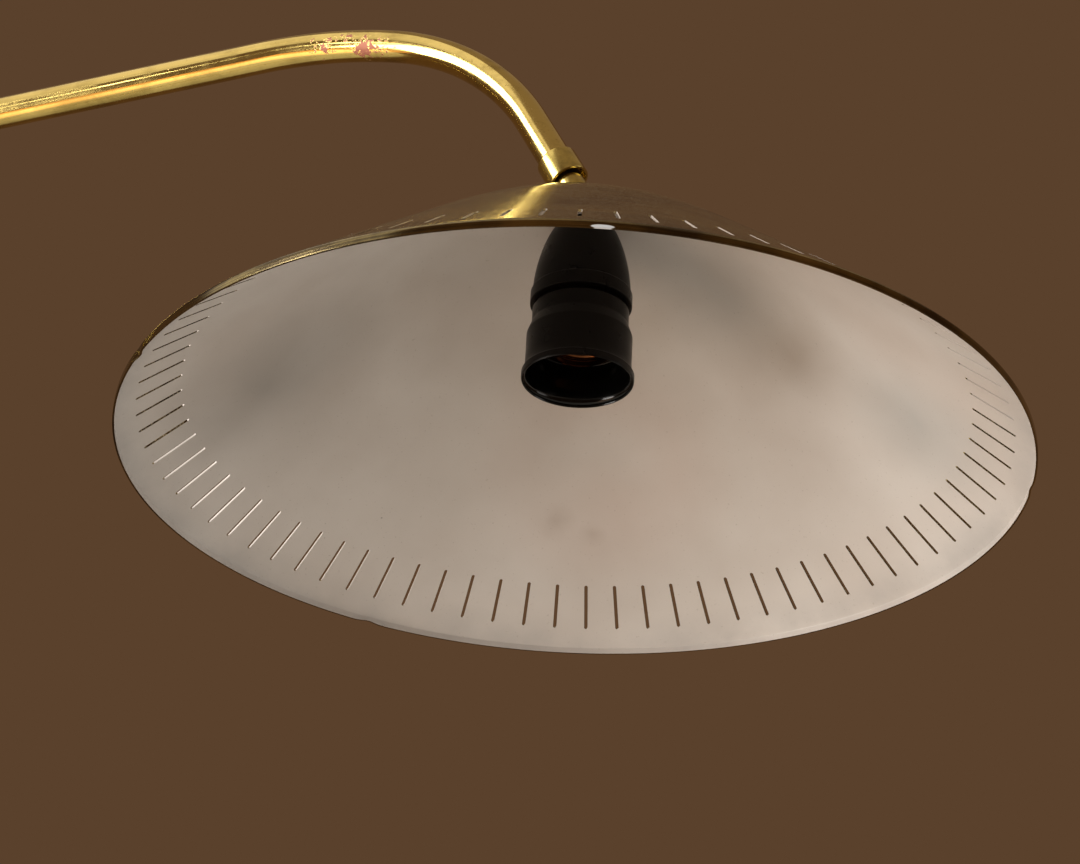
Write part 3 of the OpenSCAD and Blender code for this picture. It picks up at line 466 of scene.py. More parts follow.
def spun(name, worn, clean, gloss, dull, dusty, dust_z):
    """Spun brass: rings in the UV map's V, over clouds of age, under grains of dust.

    Dust lies above the height dust_z in mm, and its grains cover up to the share `dusty`.
    It returns the material, the function that feeds it, the place, its colour and its metal."""
    material, feed, where = new_finish(name, Anisotropic=0.7)
    uv = add(material, "UVMap", uv_map="around")
    rings = add(material, "Mapping", uv, Scale=(7.0, across(RING_MM), 1.0))
    rings = add(material, "TexNoise", rings, 1.0, 4.0, 0.7)
    bands = add(material, "Mapping", uv, Scale=(1.5, 110.0, 1.0))
    bands = add(material, "TexNoise", bands, 1.0, 2.0)
    clouds = add(material, "TexNoise", where, across(45), 6.0, 0.62)
    shares = [add(material, "Math", part, share, operation="MULTIPLY")
              for part, share in ((clouds, 0.45), (rings, 0.35), (bands, 0.2))]
    age = add(material, "Math", shares[0], add(material, "Math", *shares[1:], operation="ADD"),
              operation="ADD")
    up = add(material, "SeparateXYZ", where).node.outputs["Z"]
    lying = add(material, "MapRange", up, dust_z * MM, (dust_z + 3) * MM)
    grains = add(material, "TexNoise", where, across(DUST_MM), 3.0, 0.7)
    grains = add(material, "MapRange", grains, 0.48, 0.64, 0.0, dusty)
    dust = add(material, "Math", lying, grains, operation="MULTIPLY")
    fresh = add(material, "MapRange", age, 0.42, 0.58)
    colour = add(material, "Mix", fresh, worn, clean, data_type="RGBA")
    colour = add(material, "Mix", dust, colour, "#BCAF93", data_type="RGBA")
    metal = add(material, "Math", 1.0, dust, operation="SUBTRACT")
    dulled = add(material, "Math", dust, -0.4, operation="MULTIPLY")
    dulled = add(material, "Math", age, dulled, operation="ADD")
    height = add(material, "Math", bands, 16.0, operation="MULTIPLY")
    height = add(material, "Math", rings, height, operation="ADD")
    feed("Base Color", colour)
    feed("Metallic", metal)
    feed("Roughness", add(material, "MapRange", dulled, 0.35, 0.65, dull, gloss))
    feed("Tangent", add(material, "Tangent", direction_type="UV_MAP", uv_map="around"))
    feed("Normal", add(material, "Bump", Height=height, Distance=0.012 * MM, Strength=1.0))
    return material, feed, where, colour, metal


shade_brass, feed_shade, shade_place, shade_colour, shade_metal = spun(
    "Spun brass of the shade", "#5E523E", "#BFAE78", 0.05, 0.15, 0.75, RIM_Z + 2)
cover_brass = spun("Spun brass of the base", "#A08B52", "#DCC473", 0.2, 0.32, 0.1, 12.0)[0]
print("spun finishes:", shade_brass.name, cover_brass.name)

# %% [markdown]
# One place on the lip of the shade, 8.5 mm long and 1.6 mm high, is coloured a bluish white and is
# not metal. It is where the offset from its middle, divided by half those sizes, is shorter than 1.

# %% A bluish-white patch on the lip
SHADE_R, TOUCH_ANGLE, TOUCH_RISE = 180.0, np.radians(-65.7), 0.5
touch_at = (AXIS_X + SHADE_R * np.cos(TOUCH_ANGLE), SHADE_R * np.sin(TOUCH_ANGLE),
            RIM_Z + TOUCH_RISE)
offset = add(shade_brass, "VectorMath", shade_place, metres(*touch_at), operation="SUBTRACT")
offset = add(shade_brass, "Mapping", offset, Scale=(235.0, 235.0, 1250.0))
length = add(shade_brass, "VectorMath", offset, operation="LENGTH")
white = add(shade_brass, "MapRange", length, 0.9, 1.05, 1.0, 0.0)
bare = add(shade_brass, "Math", 1.0, white, operation="SUBTRACT")
feed_shade("Base Color", add(shade_brass, "Mix", white, shade_colour, "#E4E6E8", data_type="RGBA"))
feed_shade("Metallic", add(shade_brass, "Math", shade_metal, bare, operation="MULTIPLY"))
print("lip touch at", np.round(touch_at, 1))

# %% [markdown]
# ## White lacquer inside the shade
# The inside is lacquered a warm white by spraying, once glossy and now satin. It is not one colour:
# it has yellowed in soft clouds, holds tiny dark specks and a few stains, and is greyer in a band
# by the rim. One wide grey patch at the left is a painted shadow of the lampholder. The walls of
# the slots that face the tall left lamp get the white lacquer too, as a painted highlight, and the
# others are bare brass.

# %% Clouds and the grey band by the rim
lacquer, feed_lacquer, inside = new_finish("Aged white lacquer", IOR=1.5)
clouds = add(lacquer, "TexNoise", inside, across(110), 4.0, 0.5)
clouds = add(lacquer, "MapRange", clouds, 0.35, 0.65)
tint = add(lacquer, "Mix", clouds, "#CAC1B9", "#DED8D2", data_type="RGBA")
blush = add(lacquer, "TexNoise", inside, across(160), 2.0, 0.5, Distortion=0.6)
blush = add(lacquer, "MapRange", blush, 0.5, 0.75, 0.0, 0.35)
tint = add(lacquer, "Mix", blush, tint, "#D3BFB2", data_type="RGBA")
level = add(lacquer, "Mapping", inside, metres(-AXIS_X, 0.0, 0.0), Scale=(1.0, 1.0, 0.0))
from_axis = add(lacquer, "VectorMath", level, operation="LENGTH")
# A band by the rim is mixed towards grey, more in some noisy patches than in others.
by_rim = add(lacquer, "MapRange", from_axis, 0.166, 0.177)
uneven = add(lacquer, "TexNoise", inside, across(34), 5.0, 0.6)
uneven = add(lacquer, "MapRange", uneven, 0.35, 0.65, 0.05, 0.4)
greyer_by_rim = add(lacquer, "Math", by_rim, uneven, operation="MULTIPLY")
tint = add(lacquer, "Mix", greyer_by_rim, tint, "#A3A19F", data_type="RGBA")

# %% Specks, stains and a painted shadow
dots = add(lacquer, "TexVoronoi", inside, Scale=across(24))
dots = add(lacquer, "MapRange", dots, 0.013, 0.024, 0.6, 0.0)
few = add(lacquer, "TexNoise", inside, across(17), 2.0, 0.6)
few = add(lacquer, "Math", few, 0.5, operation="GREATER_THAN")
dots = add(lacquer, "Math", dots, few, operation="MULTIPLY")
tint = add(lacquer, "Mix", dots, tint, "#6A5B4B", data_type="RGBA")
dust = add(lacquer, "TexNoise", inside, across(1.1), 2.0, 0.5)
dust = add(lacquer, "MapRange", dust, 0.68, 0.74, 0.0, 0.28)
tint = add(lacquer, "Mix", dust, tint, "#8E8070", data_type="RGBA")
# The second entry, wide and grey at the left, is a painted shadow of the lampholder; the rest are
# stains.
STAINS_AND_SHADOW = (  # x, y, z in mm, reach in mm, half the strength at the middle, colour
    (591.0, 67.0, 1199.0, 42.0, 0.2, "#A2A9AA"), (345.0, -24.0, 1207.0, 60.0, 0.26, "#85837F"),
    (415.0, 119.0, 1204.0, 10.0, 0.12, "#7C6650"), (428.0, 128.0, 1201.0, 7.0, 0.1, "#7C6650"),
    (439.0, 107.0, 1219.0, 60.0, 0.22, "#C29E8C"))
for *centre, reach, strength, mark_colour in STAINS_AND_SHADOW:
    apart = add(lacquer, "VectorMath", inside, metres(*centre), operation="DISTANCE")
    spread = add(lacquer, "MapRange", apart, 0.0, reach * MM, strength * 2, 0.0)
    uneven = add(lacquer, "TexNoise", inside, across(reach * 1.2), 1.0, 0.6)
    uneven = add(lacquer, "MapRange", uneven, 0.25, 0.6)
    spread = add(lacquer, "Math", spread, uneven, operation="MULTIPLY")
    tint = add(lacquer, "Mix", spread, tint, mark_colour, data_type="RGBA")
satin = add(lacquer, "TexNoise", inside, across(30), 4.0, 0.6)
orange_peel = add(lacquer, "TexNoise", inside, across(2.2), 3.0, 0.6)
feed_lacquer("Base Color", tint)
feed_lacquer("Roughness", add(lacquer, "MapRange", satin, 0.3, 0.7, 0.34, 0.48))
feed_lacquer("Normal", add(lacquer, "Bump", Height=orange_peel, Distance=0.03 * MM, Strength=0.3))
print("stains in the lacquer:", len(STAINS_AND_SHADOW))

# %% [markdown]
# ## Bakelite, and the small materials
# The lampholder is moulded bakelite, a phenol plastic that is nearly black and faintly brown. It is
# glossy where the mould was polished, with fine dust that softens its outside. The other materials
# are small: plated steel for screws, copper-rich sheet brass for the screw shell, unglazed ceramic,
# nylon for the guides, vulcanised fibre, rubber, felt and bare iron. The sheet brass is coloured
# far darker than bare brass, as painted shade for its place deep inside the black skirt.


# %% Bakelite and a general small finish
def moulded(name, dark, light, gloss, dull, size_mm, depth_mm, **shader):
    """A material whose colour and gloss wander between two values with one noise."""
    material, feed, where = new_finish(name, **shader)
    grain = add(material, "TexNoise", where, across(size_mm), 5.0, 0.6)
    feed("Base Color", add(material, "Mix", grain, dark, light, data_type="RGBA"))
    feed("Roughness", add(material, "MapRange", grain, 0.3, 0.7, gloss, dull))
    feed("Normal", add(material, "Bump", Height=grain, Distance=depth_mm * MM, Strength=0.4))
    return material


bakelite = moulded("Dusty bakelite", "#040201", "#0C0704", 0.25, 0.4, 9, 0.02,
                   Specular_IOR_Level=0.13)
clean_bakelite = moulded("Polished bakelite", "#020202", "#070605", 0.1, 0.2, 9, 0.02,
                         Specular_IOR_Level=0.3)
steel = moulded("Zinc-plated steel", "#8E8E8C", "#B9B9B5", 0.24, 0.4, 3, 0.02, Metallic=1.0)
# Far darker than bare brass: painted shade for the screw shell deep in the skirt.
shade_darkened_brass = moulded("Sheet brass darkened as painted shade", "#4A2C18", "#7E5030", 0.08, 0.16, 5, 0.02,
                      Metallic=1.0)
porcelain = moulded("Unglazed porcelain", "#D5CFC2", "#E6E1D6", 0.55, 0.75, 4, 0.05, IOR=1.5)
nylon = moulded("Moulded nylon", "#CFC8B6", "#E0DACA", 0.4, 0.55, 6, 0.02, IOR=1.53)
fibre = moulded("Vulcanised fibre", "#5E3A28", "#7C4E38", 0.55, 0.75, 3, 0.05, IOR=1.5)
rubber = moulded("Moulded rubber", "#121212", "#1F1E1D", 0.55, 0.75, 3, 0.05, IOR=1.52)
felt = moulded("Wool felt", "#222C25", "#3A4840", 0.9, 1.0, 1.5, 0.6, IOR=1.5)
iron = moulded("Cast iron", "#303032", "#4A4A4B", 0.5, 0.8, 4, 0.4, Metallic=0.6)

# %% Every CAD node gets the finish of its slot
FINISHES = {
    "polished_brass": turned_brass, "dull_brass": plain_brass, "shade_brass": plain_brass,
    "plated_steel": steel, "contact_brass": shade_darkened_brass, "grey_iron": iron, "felt": felt,
    "black_rubber": rubber, "white_nylon": nylon, "vulcanised_fibre": fibre,
    "bakelite": bakelite, "porcelain": porcelain,
}
for part in frame["record"]["subparts"]:
    node = frame["nodes"][part["node"]]
    node.data.materials.clear()
    node.data.materials.append(FINISHES[part["material_slot"]])

# %% [markdown]
# ## The shade
# The shade's wall is 0.8 mm of brass. Its profile, from the rim up, is a lip turned down, a small
# rounding, a straight flank, a shoulder and a shallow dome. The slots are cut right through, so
# they have to be real holes: the grid has 79 sectors, and in each of them two columns part to
# follow the slot's outline, with round ends. Where both sides of the wall lose their faces, a
# strip joins them.

# %% The profile of the shade
SHADE_T, LIP, LIP_ROUND = 0.8, 2.2, 1.6
FLANK, DOME = np.radians(37.6), np.radians(31.0)
FLANK_R, DOME_R, CROWN_R, SHANK_R = 92.0, 58.0, 14.0, 5.05
CROWN_RINGS = (12.5, 9.0, SHANK_R)
SLOTS, SLOT_W, SLOT_LEN, SLOT_MARGIN = 79, 1.5, 21.3, 8.9


def shade_rows():
    """Rows (radius, height, slope) of the outer face, the slot's half width, and where it is cut.

    On the flank, r = r0 - s cos f and z = z0 + s sin f. The shoulder and the dome are arcs:
    r = c + R sin a, z = d + R cos a. The slot's ends are half circles, so w^2 = (W/2)^2 - x^2."""
    a = np.linspace(np.pi / 2, FLANK, 7)
    lip = np.stack([np.full(3, SHADE_R), [0, LIP * 0.35, LIP * 0.7], np.full(3, np.pi / 2)], -1)
    bend = np.stack([SHADE_R - LIP_ROUND * (1 - np.sin(a)), LIP + LIP_ROUND * np.cos(a), a], -1)
    r0, z0 = bend[-1, :2]
    length = (r0 - FLANK_R) / np.cos(FLANK)
    tip = SLOT_W / 2 * (1 - np.cos(np.linspace(0, np.pi / 2, 4)))
    low, high = SLOT_MARGIN, SLOT_MARGIN + SLOT_LEN
    cut = np.concatenate([low + tip, np.linspace(low, high, 6)[1:-1], high - tip[::-1]])
    s = np.concatenate([[1.5, 4.5, 7.5], cut, [high + 1.4], np.linspace(high + 5, length, 9)])
    flank = np.stack([r0 - s * np.cos(FLANK), z0 + s * np.sin(FLANK), np.full(len(s), FLANK)], -1)
    middle = SLOT_LEN / 2 - SLOT_W / 2
    off = np.clip(np.abs(s - (low + high) / 2) - middle, 0, SLOT_W / 2)
    inside = (s > low - 1e-9) & (s < high + 1e-9)
    width = np.where(inside, np.sqrt(np.clip((SLOT_W / 2) ** 2 - off**2, 0, None)), SLOT_W / 2)
    shoulder = (FLANK_R - DOME_R) / (np.sin(FLANK) - np.sin(DOME))
    a = np.linspace(FLANK, DOME, 8)[1:]
    bow = np.stack([DOME_R + shoulder * (np.sin(a) - np.sin(DOME)),
                    flank[-1, 1] + shoulder * (np.cos(a) - np.cos(FLANK)), a], -1)
    big = DOME_R / np.sin(DOME)
    a = np.linspace(DOME, np.arcsin(CROWN_R / big), 15)[1:]
    dome = np.stack([big * np.sin(a), bow[-1, 1] + big * (np.cos(a) - np.cos(DOME)), a], -1)
    crown = np.array([[r, dome[-1, 1], 0.0] for r in CROWN_RINGS])
    rows = np.vstack([lip, bend, flank, bow, dome, crown])
    halves, pierced = np.full(len(rows), SLOT_W / 2), np.zeros(len(rows), bool)
    first = len(lip) + len(bend)
    halves[first : first + len(s)], pierced[first : first + len(s)] = width, inside
    return rows, halves, pierced


rows, halves, pierced = shade_rows()
print(f"shade: {len(rows)} rows, height {rows[-1, 1]:.2f} mm, CAD has {CROWN_Z - RIM_Z:.2f} mm")


# %% The pierced wall as one closed surface
def pierced_wall(rows, halves, pierced, count, thickness, shares):
    """A turned wall with `count` equal holes.

    A sector runs from one hole's middle to the next. Its columns are at angle 0, at w/r, and from
    there to half a sector in the given shares, and the second half mirrors the first. The inner
    face is the outer one moved by the thickness along -(sin a, cos a)."""
    r, z, a = rows.T
    half = np.pi / count
    edge = np.minimum(halves / r, 0.3 * half)[:, None]
    right = edge + (half - edge) * np.asarray(shares)[None, :]
    one = np.hstack([0 * edge, edge, right, 2 * half - right[:, -2::-1], 2 * half - edge])
    columns = one.shape[1]
    angle = one[:, None, :] + np.arange(count)[None, :, None] * 2 * half
    angle = angle.reshape(len(rows), -1)
    grid = []
    for depth in (0.0, thickness):
        rr, zz = (r - depth * np.sin(a))[:, None], (z - depth * np.cos(a))[:, None]
        grid.append(round_z(rr, angle, zz))
    n_rows, n = angle.shape
    index = np.arange(2 * n_rows * n).reshape(2, n_rows, n)
    hub = np.arange(count) * columns
    tips = np.flatnonzero(pierced & (halves < 1e-6))
    for beside, middle in ((hub + 1, hub), (hub + columns - 1, np.roll(hub, -1))):
        index[np.ix_([0, 1], tips, beside)] = index[np.ix_([0, 1], tips, middle)]
    along = np.arange(n) % columns
    hole = (along == 0) | (along == columns - 1)
    steps = np.flatnonzero(pierced[:-1] & pierced[1:])
    gone = (pierced[:-1] & pierced[1:])[:, None] & hole[None, :]
    nxt = np.roll(index, -1, 2)
    outer = np.stack([index[0, :-1], nxt[0, :-1], nxt[0, 1:], index[0, 1:]], -1)[~gone]
    inner = np.stack([index[1, :-1], index[1, 1:], nxt[1, 1:], nxt[1, :-1]], -1)[~gone]
    ends = []
    for row, flip in ((0, False), (n_rows - 1, True)):
        strip = np.stack([index[0, row], index[1, row], nxt[1, row], nxt[0, row]], -1)
        ends.append(strip[:, ::-1] if flip else strip)
    walls = []
    for column, flip in ((1, False), (columns - 1, True)):
        e = index[:, :, hub + column]
        strip = np.stack([e[0][steps], e[0][steps + 1], e[1][steps + 1], e[1][steps]], -1)
        walls.append((strip[..., ::-1] if flip else strip).reshape(-1, 4))
    return np.concatenate(grid).reshape(-1, 3), np.vstack([outer, *ends, *walls, inner])


wall_points, wall_quads = pierced_wall(rows, halves, pierced, SLOTS, SHADE_T, (0.2, 0.55, 1.0))
print("shade wall:", len(wall_points), "points", len(wall_quads), "faces")

# %% [markdown]
# A shade that has been used for decades isn't perfect. Its lip has small nicks where it was
# knocked, and it wanders by a tenth of a millimetre. Both are moves of the points near the rim, as
# a function of the angle and of the height above the rim.

# %% Nicks and a slight wander in the lip
NICKS = ((-133.9, 1.1, 3.2), (140.8, 1.0, 3.6), (23.0, 0.5, 4.0))  # degrees, depth, reach in mm
FADE, WANDER, INSET = 2.5, 0.06, 0.02


def worn_rim(points):
    """Moves points inwards by depth exp(-(arc / reach)^2) exp(-height / FADE) per nick, and up.

    The wander is WANDER (1 + sin(3 angle + 0.7)), and all of it is INSET smaller than the CAD."""
    r, angle = np.hypot(points[:, 0], points[:, 1]), np.arctan2(points[:, 1], points[:, 0])
    fade = np.exp(-np.clip(points[:, 2], 0, None) / FADE) * (r > 150)
    inwards = INSET + WANDER * fade * (1 + np.sin(3 * angle + 0.7))
    for place, depth, reach in NICKS:
        arc = np.angle(np.exp(1j * (angle - np.radians(place)))) * r
        inwards = inwards + depth * np.exp(-((arc / reach) ** 2)) * fade
    out = points.copy()
    out[:, :2] *= ((r - inwards) / np.maximum(r, 1e-9))[:, None]
    out[:, 2] += 0.35 * np.clip(inwards - 0.12, 0, None)
    return out


shade_points = worn_rim(wall_points) + np.array([AXIS_X, 0.0, RIM_Z])
shade = piece("spun_shade", [(shade_points, wall_quads)], shade_brass, "head", "shade",
              sharp=40.0, axis=(AXIS_X, 0.0))


# %% The lacquered side: the faces that look into the shade, and slot walls painted light
def second_finish(made, finish, chosen):
    """Gives a second material to the faces that chosen(centres, outwards, normals) names.

    outwards is how far a normal points away from the head's upright axis. Sizes are in mm."""
    made.data.materials.append(finish)
    centres, normals = np.empty((2, len(made.data.polygons) * 3))
    made.data.polygons.foreach_get("center", centres)
    made.data.polygons.foreach_get("normal", normals)
    centres, normals = centres.reshape(-1, 3) / MM, normals.reshape(-1, 3)
    spoke = centres[:, :2] - (AXIS_X, 0.0)
    outwards = (spoke * normals[:, :2]).sum(1) / np.linalg.norm(spoke, axis=1)
    picked = chosen(centres, outwards, normals)
    made.data.polygons.foreach_set("material_index", picked.astype(np.int32))
    made.data.update()
    print(f"{finish.name}: {int(picked.sum())} of {len(picked)} faces of {made.name}")


# Slot walls that face the tall left lamp get white lacquer: a painted highlight on that side.
LEFT_LAMP_SIDE, LAMP_FACING_LEAST, LOOKS_DOWN = (-0.64, -0.77), 0.62, -0.7


def lacquered_and_lamp_lit(centres, outwards, normals):
    """The inner face, and slot walls facing the left lamp, white as a painted highlight."""
    up, above_lip = normals[:, 2], centres[:, 2] > RIM_Z + 5
    walls = (np.abs(up) < -LOOKS_DOWN) & above_lip & (centres[:, 2] < CROWN_Z - 5)
    lamp_facing_walls = walls & (normals[:, :2] @ LEFT_LAMP_SIDE > LAMP_FACING_LEAST)
    return ((up < LOOKS_DOWN) & above_lip) | ((outwards < -0.5) & ~above_lip) | lamp_facing_walls


second_finish(shade, lacquer, lacquered_and_lamp_lit)

# %% [markdown]
# ## The arm tube
# One drawn tube, 14 mm across with a 1 mm wall, bent twice. The surface runs out along the outside
# and back along the bore, and closes on itself. A tube that is bent cold flattens a little in the
# bend and is never quite even, which is why the highlights along it waver.


# %% A tube along a path in the XZ plane
def swept_tube(points, angles, outer, wall_t, columns=96, oval=0.12, waver=0.05):
    """P + q cos(u) n(a) + q sin(u) Y for each path point P with direction a; q is the radius.

    In a bend q shrinks by half of oval in the XZ plane and by a tenth of it sideways. Along the
    bend the radius also wavers by a few hundredths."""
    u = turn_of(columns)
    turn = np.abs(np.gradient(angles))
    soft = np.convolve(np.pad(turn, 6, mode="edge"), np.ones(13) / 13, "valid")
    flat = soft / max(soft.max(), 1e-9)
    along = np.linspace(0, 1, len(points))
    ripple = waver * np.sin(23 * along + 1.0) * flat
    normal = heading(angles + 90).T
    shells = []
    for q in (outer, outer - wall_t):
        up = (q - flat * oval * 0.5 + ripple)[:, None] * np.cos(u)
        side = (q - flat * oval * 0.1)[:, None] * np.sin(u)
        shells.append(np.stack([points[:, 0, None] + up * normal[:, 0, None], side,
                                points[:, 1, None] + up * normal[:, 1, None]], -1))
    return np.concatenate([shells[0], shells[1][::-1]])


arm_wall = woven(swept_tube(path, path_angle, ARM_R, ARM_WALL), ring=True)
piece("arm_tube_drawn", [arm_wall], arm_brass, "arm", "arm_tube")

# %% [markdown]
# ## The collar at the arm's end, and the stem that turns in it
# The collar is soldered to the tube. Its mouth is open: a thin skirt stands round the stem with a
# dark gap between them, and that gap shows that the head can turn. The stem is a turned pin whose
# lower end is cut into a fork, and the fork takes the tongue of the shade's own shank.

# %% Collar
COLLAR_R, COLLAR_LEN, SKIRT_WALL = 8.6, 13.0, 1.2
collar_top = STEM_DROP + COLLAR_LEN
bore = ARM_R + 0.03
collar = wall([
    (COLLAR_R - SKIRT_WALL, STEM_DROP + SKIRT_DEPTH), (COLLAR_R - SKIRT_WALL, STEM_DROP),
    (COLLAR_R, STEM_DROP), (COLLAR_R, collar_top - 0.9), (COLLAR_R - 0.9, collar_top),
    (bore, collar_top), (bore, STEM_DROP + SKIRT_DEPTH)], 0.3)
piece("head_collar_turned", [placed(collar, pivot_3d, stem_up)], turned_brass, "arm",
      "head_collar")

# %% Stem with its fork
STEM_R, STEM_LOW, STEM_SHOULDER, STEM_TOP, JOURNAL_R = 6.0, 6.1, 20.6, 36.0, 4.0
FORK_GAP = 3.55


def cheeks(disc_r, nose_r, nose_z, way, flat_z, inner, outer, edge, columns):
    """The two cheeks of a fork that is cut from a turned disc, each from y = inner to outer.

    The outline is a half circle about nose_z, up or down as way says, and straight down to
    flat_z. At each distance y from the middle it is cut to the disc's chord, x^2 = R^2 - y^2."""
    u = np.linspace(0, np.pi, columns)
    z = np.concatenate([nose_z + way * nose_r * np.sin(u), [flat_z, flat_z]])
    x = np.concatenate([nose_r * np.cos(u), [-nose_r, nose_r]])

    def outline(levels):
        chord = np.sqrt(np.clip(disc_r**2 - levels**2, 0.3, None))[:, None]
        return np.stack([np.broadcast_to(z, (len(levels), len(z))), np.clip(x, -chord, chord)], -1)

    points, quads = slab(outline, inner, outer, edge)
    return [(points[:, [1, 2, 0]] * (1, side, 1), quads) for side in (1, -1)]


shank = solid([(0, STEM_LOW), (STEM_R, STEM_LOW), (STEM_R, STEM_SHOULDER),
               (JOURNAL_R, STEM_SHOULDER), (JOURNAL_R, STEM_TOP), (0, STEM_TOP)], 0.35)
stem = [shank, *cheeks(STEM_R, STEM_R, 0.0, -1, STEM_LOW + 0.2, FORK_GAP, STEM_R - 0.05, 0.25, 33)]
piece("head_stem_turned", [placed(s, pivot_3d, stem_up) for s in stem], turned_brass,
      "head_swivel", "head_stem")

# %% Tongue, flange and crown washer
HUB_R, TONGUE_HALF, WEB = 5.6, 3.5, (4.6, 3.4)
FLANGE_R, FLANGE_T, FLANGE_TOP, WASHER_R, WASHER_T = 7.5, 1.2, 6.3, 12.0, 1.0
THREAD_R, THREAD_END = SHANK_R - 0.05, -18.0
CORNERS = np.array([(1, 1), (-1, 1), (-1, -1), (1, -1)])
tongue = placed(slab(circle(HUB_R), -TONGUE_HALF, TONGUE_HALF, 0.4), pivot_3d, (0, 1, 0))
web = placed(slab(CORNERS * WEB, -FLANGE_TOP - 0.3, -2.0, 0.3), pivot_3d, (0, 0, 1))
flange = solid([(0, -FLANGE_TOP), (FLANGE_R, -FLANGE_TOP), (FLANGE_R, -FLANGE_TOP - FLANGE_T),
                (THREAD_R, -FLANGE_TOP - FLANGE_T), (THREAD_R, THREAD_END), (0, THREAD_END)])
piece("head_tongue", [tongue, web, placed(flange, pivot_3d, (0, 0, 1))], turned_brass, "head",
      "head_knuckle")
washer = tube(SHANK_R, WASHER_R, 0, WASHER_T, 0.4)
piece("crown_washer_turned", [placed(washer, (AXIS_X, 0, CROWN_Z), (0, 0, 1))], turned_brass,
      "head", "crown_washer")

# %% [markdown]
# ## Slotted screws
# Every screw of the lamp takes a flat blade. A slotted head is a disc with two half-moons on it,
# and the room between the half-moons is the slot.


# %% A slotted head
def slotted(radius, height, slot_w, slot_depth, edge=0.25):
    """A disc under two half-moons. A half-moon's outline is its arc and the chord at slot_w / 2."""
    limit = np.arccos(slot_w / 2 / radius)
    u = np.linspace(-limit, limit, 25)
    moon = radius * np.stack([np.cos(u), np.sin(u)], -1)
    floor_z = height - slot_depth
    return [slab(circle(radius, 48), 0.0, floor_z, 0.05),
            *(slab(moon * side, floor_z - 0.1, height, edge) for side in (1, -1))]


def screw(name, node, origin, direction, radius, height, body):
    """A set screw's slotted end, with its underside at origin."""
    surfaces = slotted(radius, height, max(0.8, radius * 0.22), min(1.0, height * 0.45))
    piece(name, [placed(s, origin, direction) for s in surfaces], steel, body, node)


PIVOT_HEAD_R, PIVOT_HEAD_H = 2.4, 1.6
reach = max(abs(corner[1]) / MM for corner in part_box("pivot_screws"))
pivot_heads = [placed(s, pivot_3d + (0, side * (reach - PIVOT_HEAD_H), 0), (0, side, 0))
               for side in (1.0, -1.0) for s in slotted(PIVOT_HEAD_R, PIVOT_HEAD_H, 0.8, 0.7, 0.15)]
piece("pivot_screw_heads", pivot_heads, steel, "head_swivel", "pivot_screws")

# %% [markdown]
# ## The lampholder
# A bakelite cap with a ring at its lower edge screws onto a bakelite shell, whose skirt widens and
# flares at the mouth. Inside, the brass screw shell stands clear of the skirt. Its rolled thread is
# a wave that climbs as it goes round. All are turned shapes with moulded radii.

# %% Cap of the lampholder
HOLDER_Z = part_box("holder_cap")[1].z / MM
CAP_R, CAP_H, CAP_RING, CAP_WALL = 20.5, 36.8, 6.2, 2.4
CAP_TOP_R, CAP_POWER = 11.4, 1.7
on_axis = np.array([AXIS_X, 0.0, HOLDER_Z])
dome_base, dome_drop = CAP_R - 0.8, CAP_H - CAP_RING
span = dome_drop / (1 - (CAP_TOP_R / dome_base) ** 2) ** (1 / CAP_POWER)
t = np.linspace(1, 0, 22)
cap_dome = np.stack([dome_base * np.sqrt(1 - (t * dome_drop / span) ** CAP_POWER),
                     -dome_drop * (1 - t)], -1)
cap_outline = np.vstack([
    softened(np.vstack([[SHANK_R, 0.0], cap_dome[:1], cap_dome[3:4]]), 0.8),
    cap_dome[4:-1],
    softened([cap_dome[-1], (CAP_R, -dome_drop - 0.6), (CAP_R, -CAP_H), (CAP_R - CAP_WALL, -CAP_H),
              (CAP_R - CAP_WALL, -dome_drop - 3.0), (8.0, -9.0), (SHANK_R, -9.0)], 0.45)])
cap = placed(woven(turned(cap_outline, 128), ring=True), on_axis, (0, 0, 1))
piece("holder_cap_moulded", [cap], bakelite, "head", "holder_cap")

# %% Shell of the lampholder, with its bell-shaped mouth
SHELL_R, SHELL_INNER, SKIRT_R, MOUTH_R, HOLDER_LEN = 19.4, 17.5, 21.2, 22.5, 71.0
SKIRT_WALL_T, LIP_EDGE, BELL_H, SEAT_Z, SEAT_T, SEAT_BORE = 2.0, 1.1, 10.9, -53.4, 3.0, 15.0
a = np.linspace(0, np.pi / 2, 7)
flare = np.stack([SKIRT_R + (MOUTH_R - SKIRT_R) * (1 - np.cos(a)),
                  -(HOLDER_LEN - 9) - 6 * np.sin(a)], -1)
a = np.linspace(0, np.pi, 9)
lip_ring = np.stack([MOUTH_R - 0.5 + 0.5 * np.cos(a),
                     -HOLDER_LEN + LIP_EDGE * (1 - np.sin(a))], -1)
a = np.linspace(0, np.pi / 2, 12)[1:]
skirt_in = SKIRT_R - SKIRT_WALL_T
bell = np.stack([skirt_in + (MOUTH_R - 1.0 - skirt_in) * (1 - np.sin(a)),
                 -HOLDER_LEN + LIP_EDGE + BELL_H * (1 - np.cos(a))], -1)
in_cap = CAP_R - CAP_WALL - 0.05
shell_outline = np.vstack([
    softened([(SHELL_INNER, -27.8), (in_cap, -27.8), (in_cap, -CAP_H - 0.7),
              (SHELL_R, -CAP_H - 2.4), (SHELL_R, -CAP_H - 9.0), (SKIRT_R, -CAP_H - 14.0),
              flare[0]], 0.5)[:-1],
    flare, lip_ring, bell,
    softened([bell[-1], (skirt_in, SEAT_Z), (SEAT_BORE, SEAT_Z), (SEAT_BORE, SEAT_Z + SEAT_T),
              (SHELL_INNER, SEAT_Z + SEAT_T)], 0.5)[1:]])
shell = placed(woven(turned(shell_outline, 128), ring=True), on_axis, (0, 0, 1))
shell = piece("holder_shell_moulded", [shell], bakelite, "head", "holder_shell")
second_finish(shell, clean_bakelite,
              lambda centres, outwards, _: (outwards < -0.3) & (centres[:, 2] < HOLDER_Z - 50))

# %% Screw shell with its rolled thread
RUN_OUT = 2.5


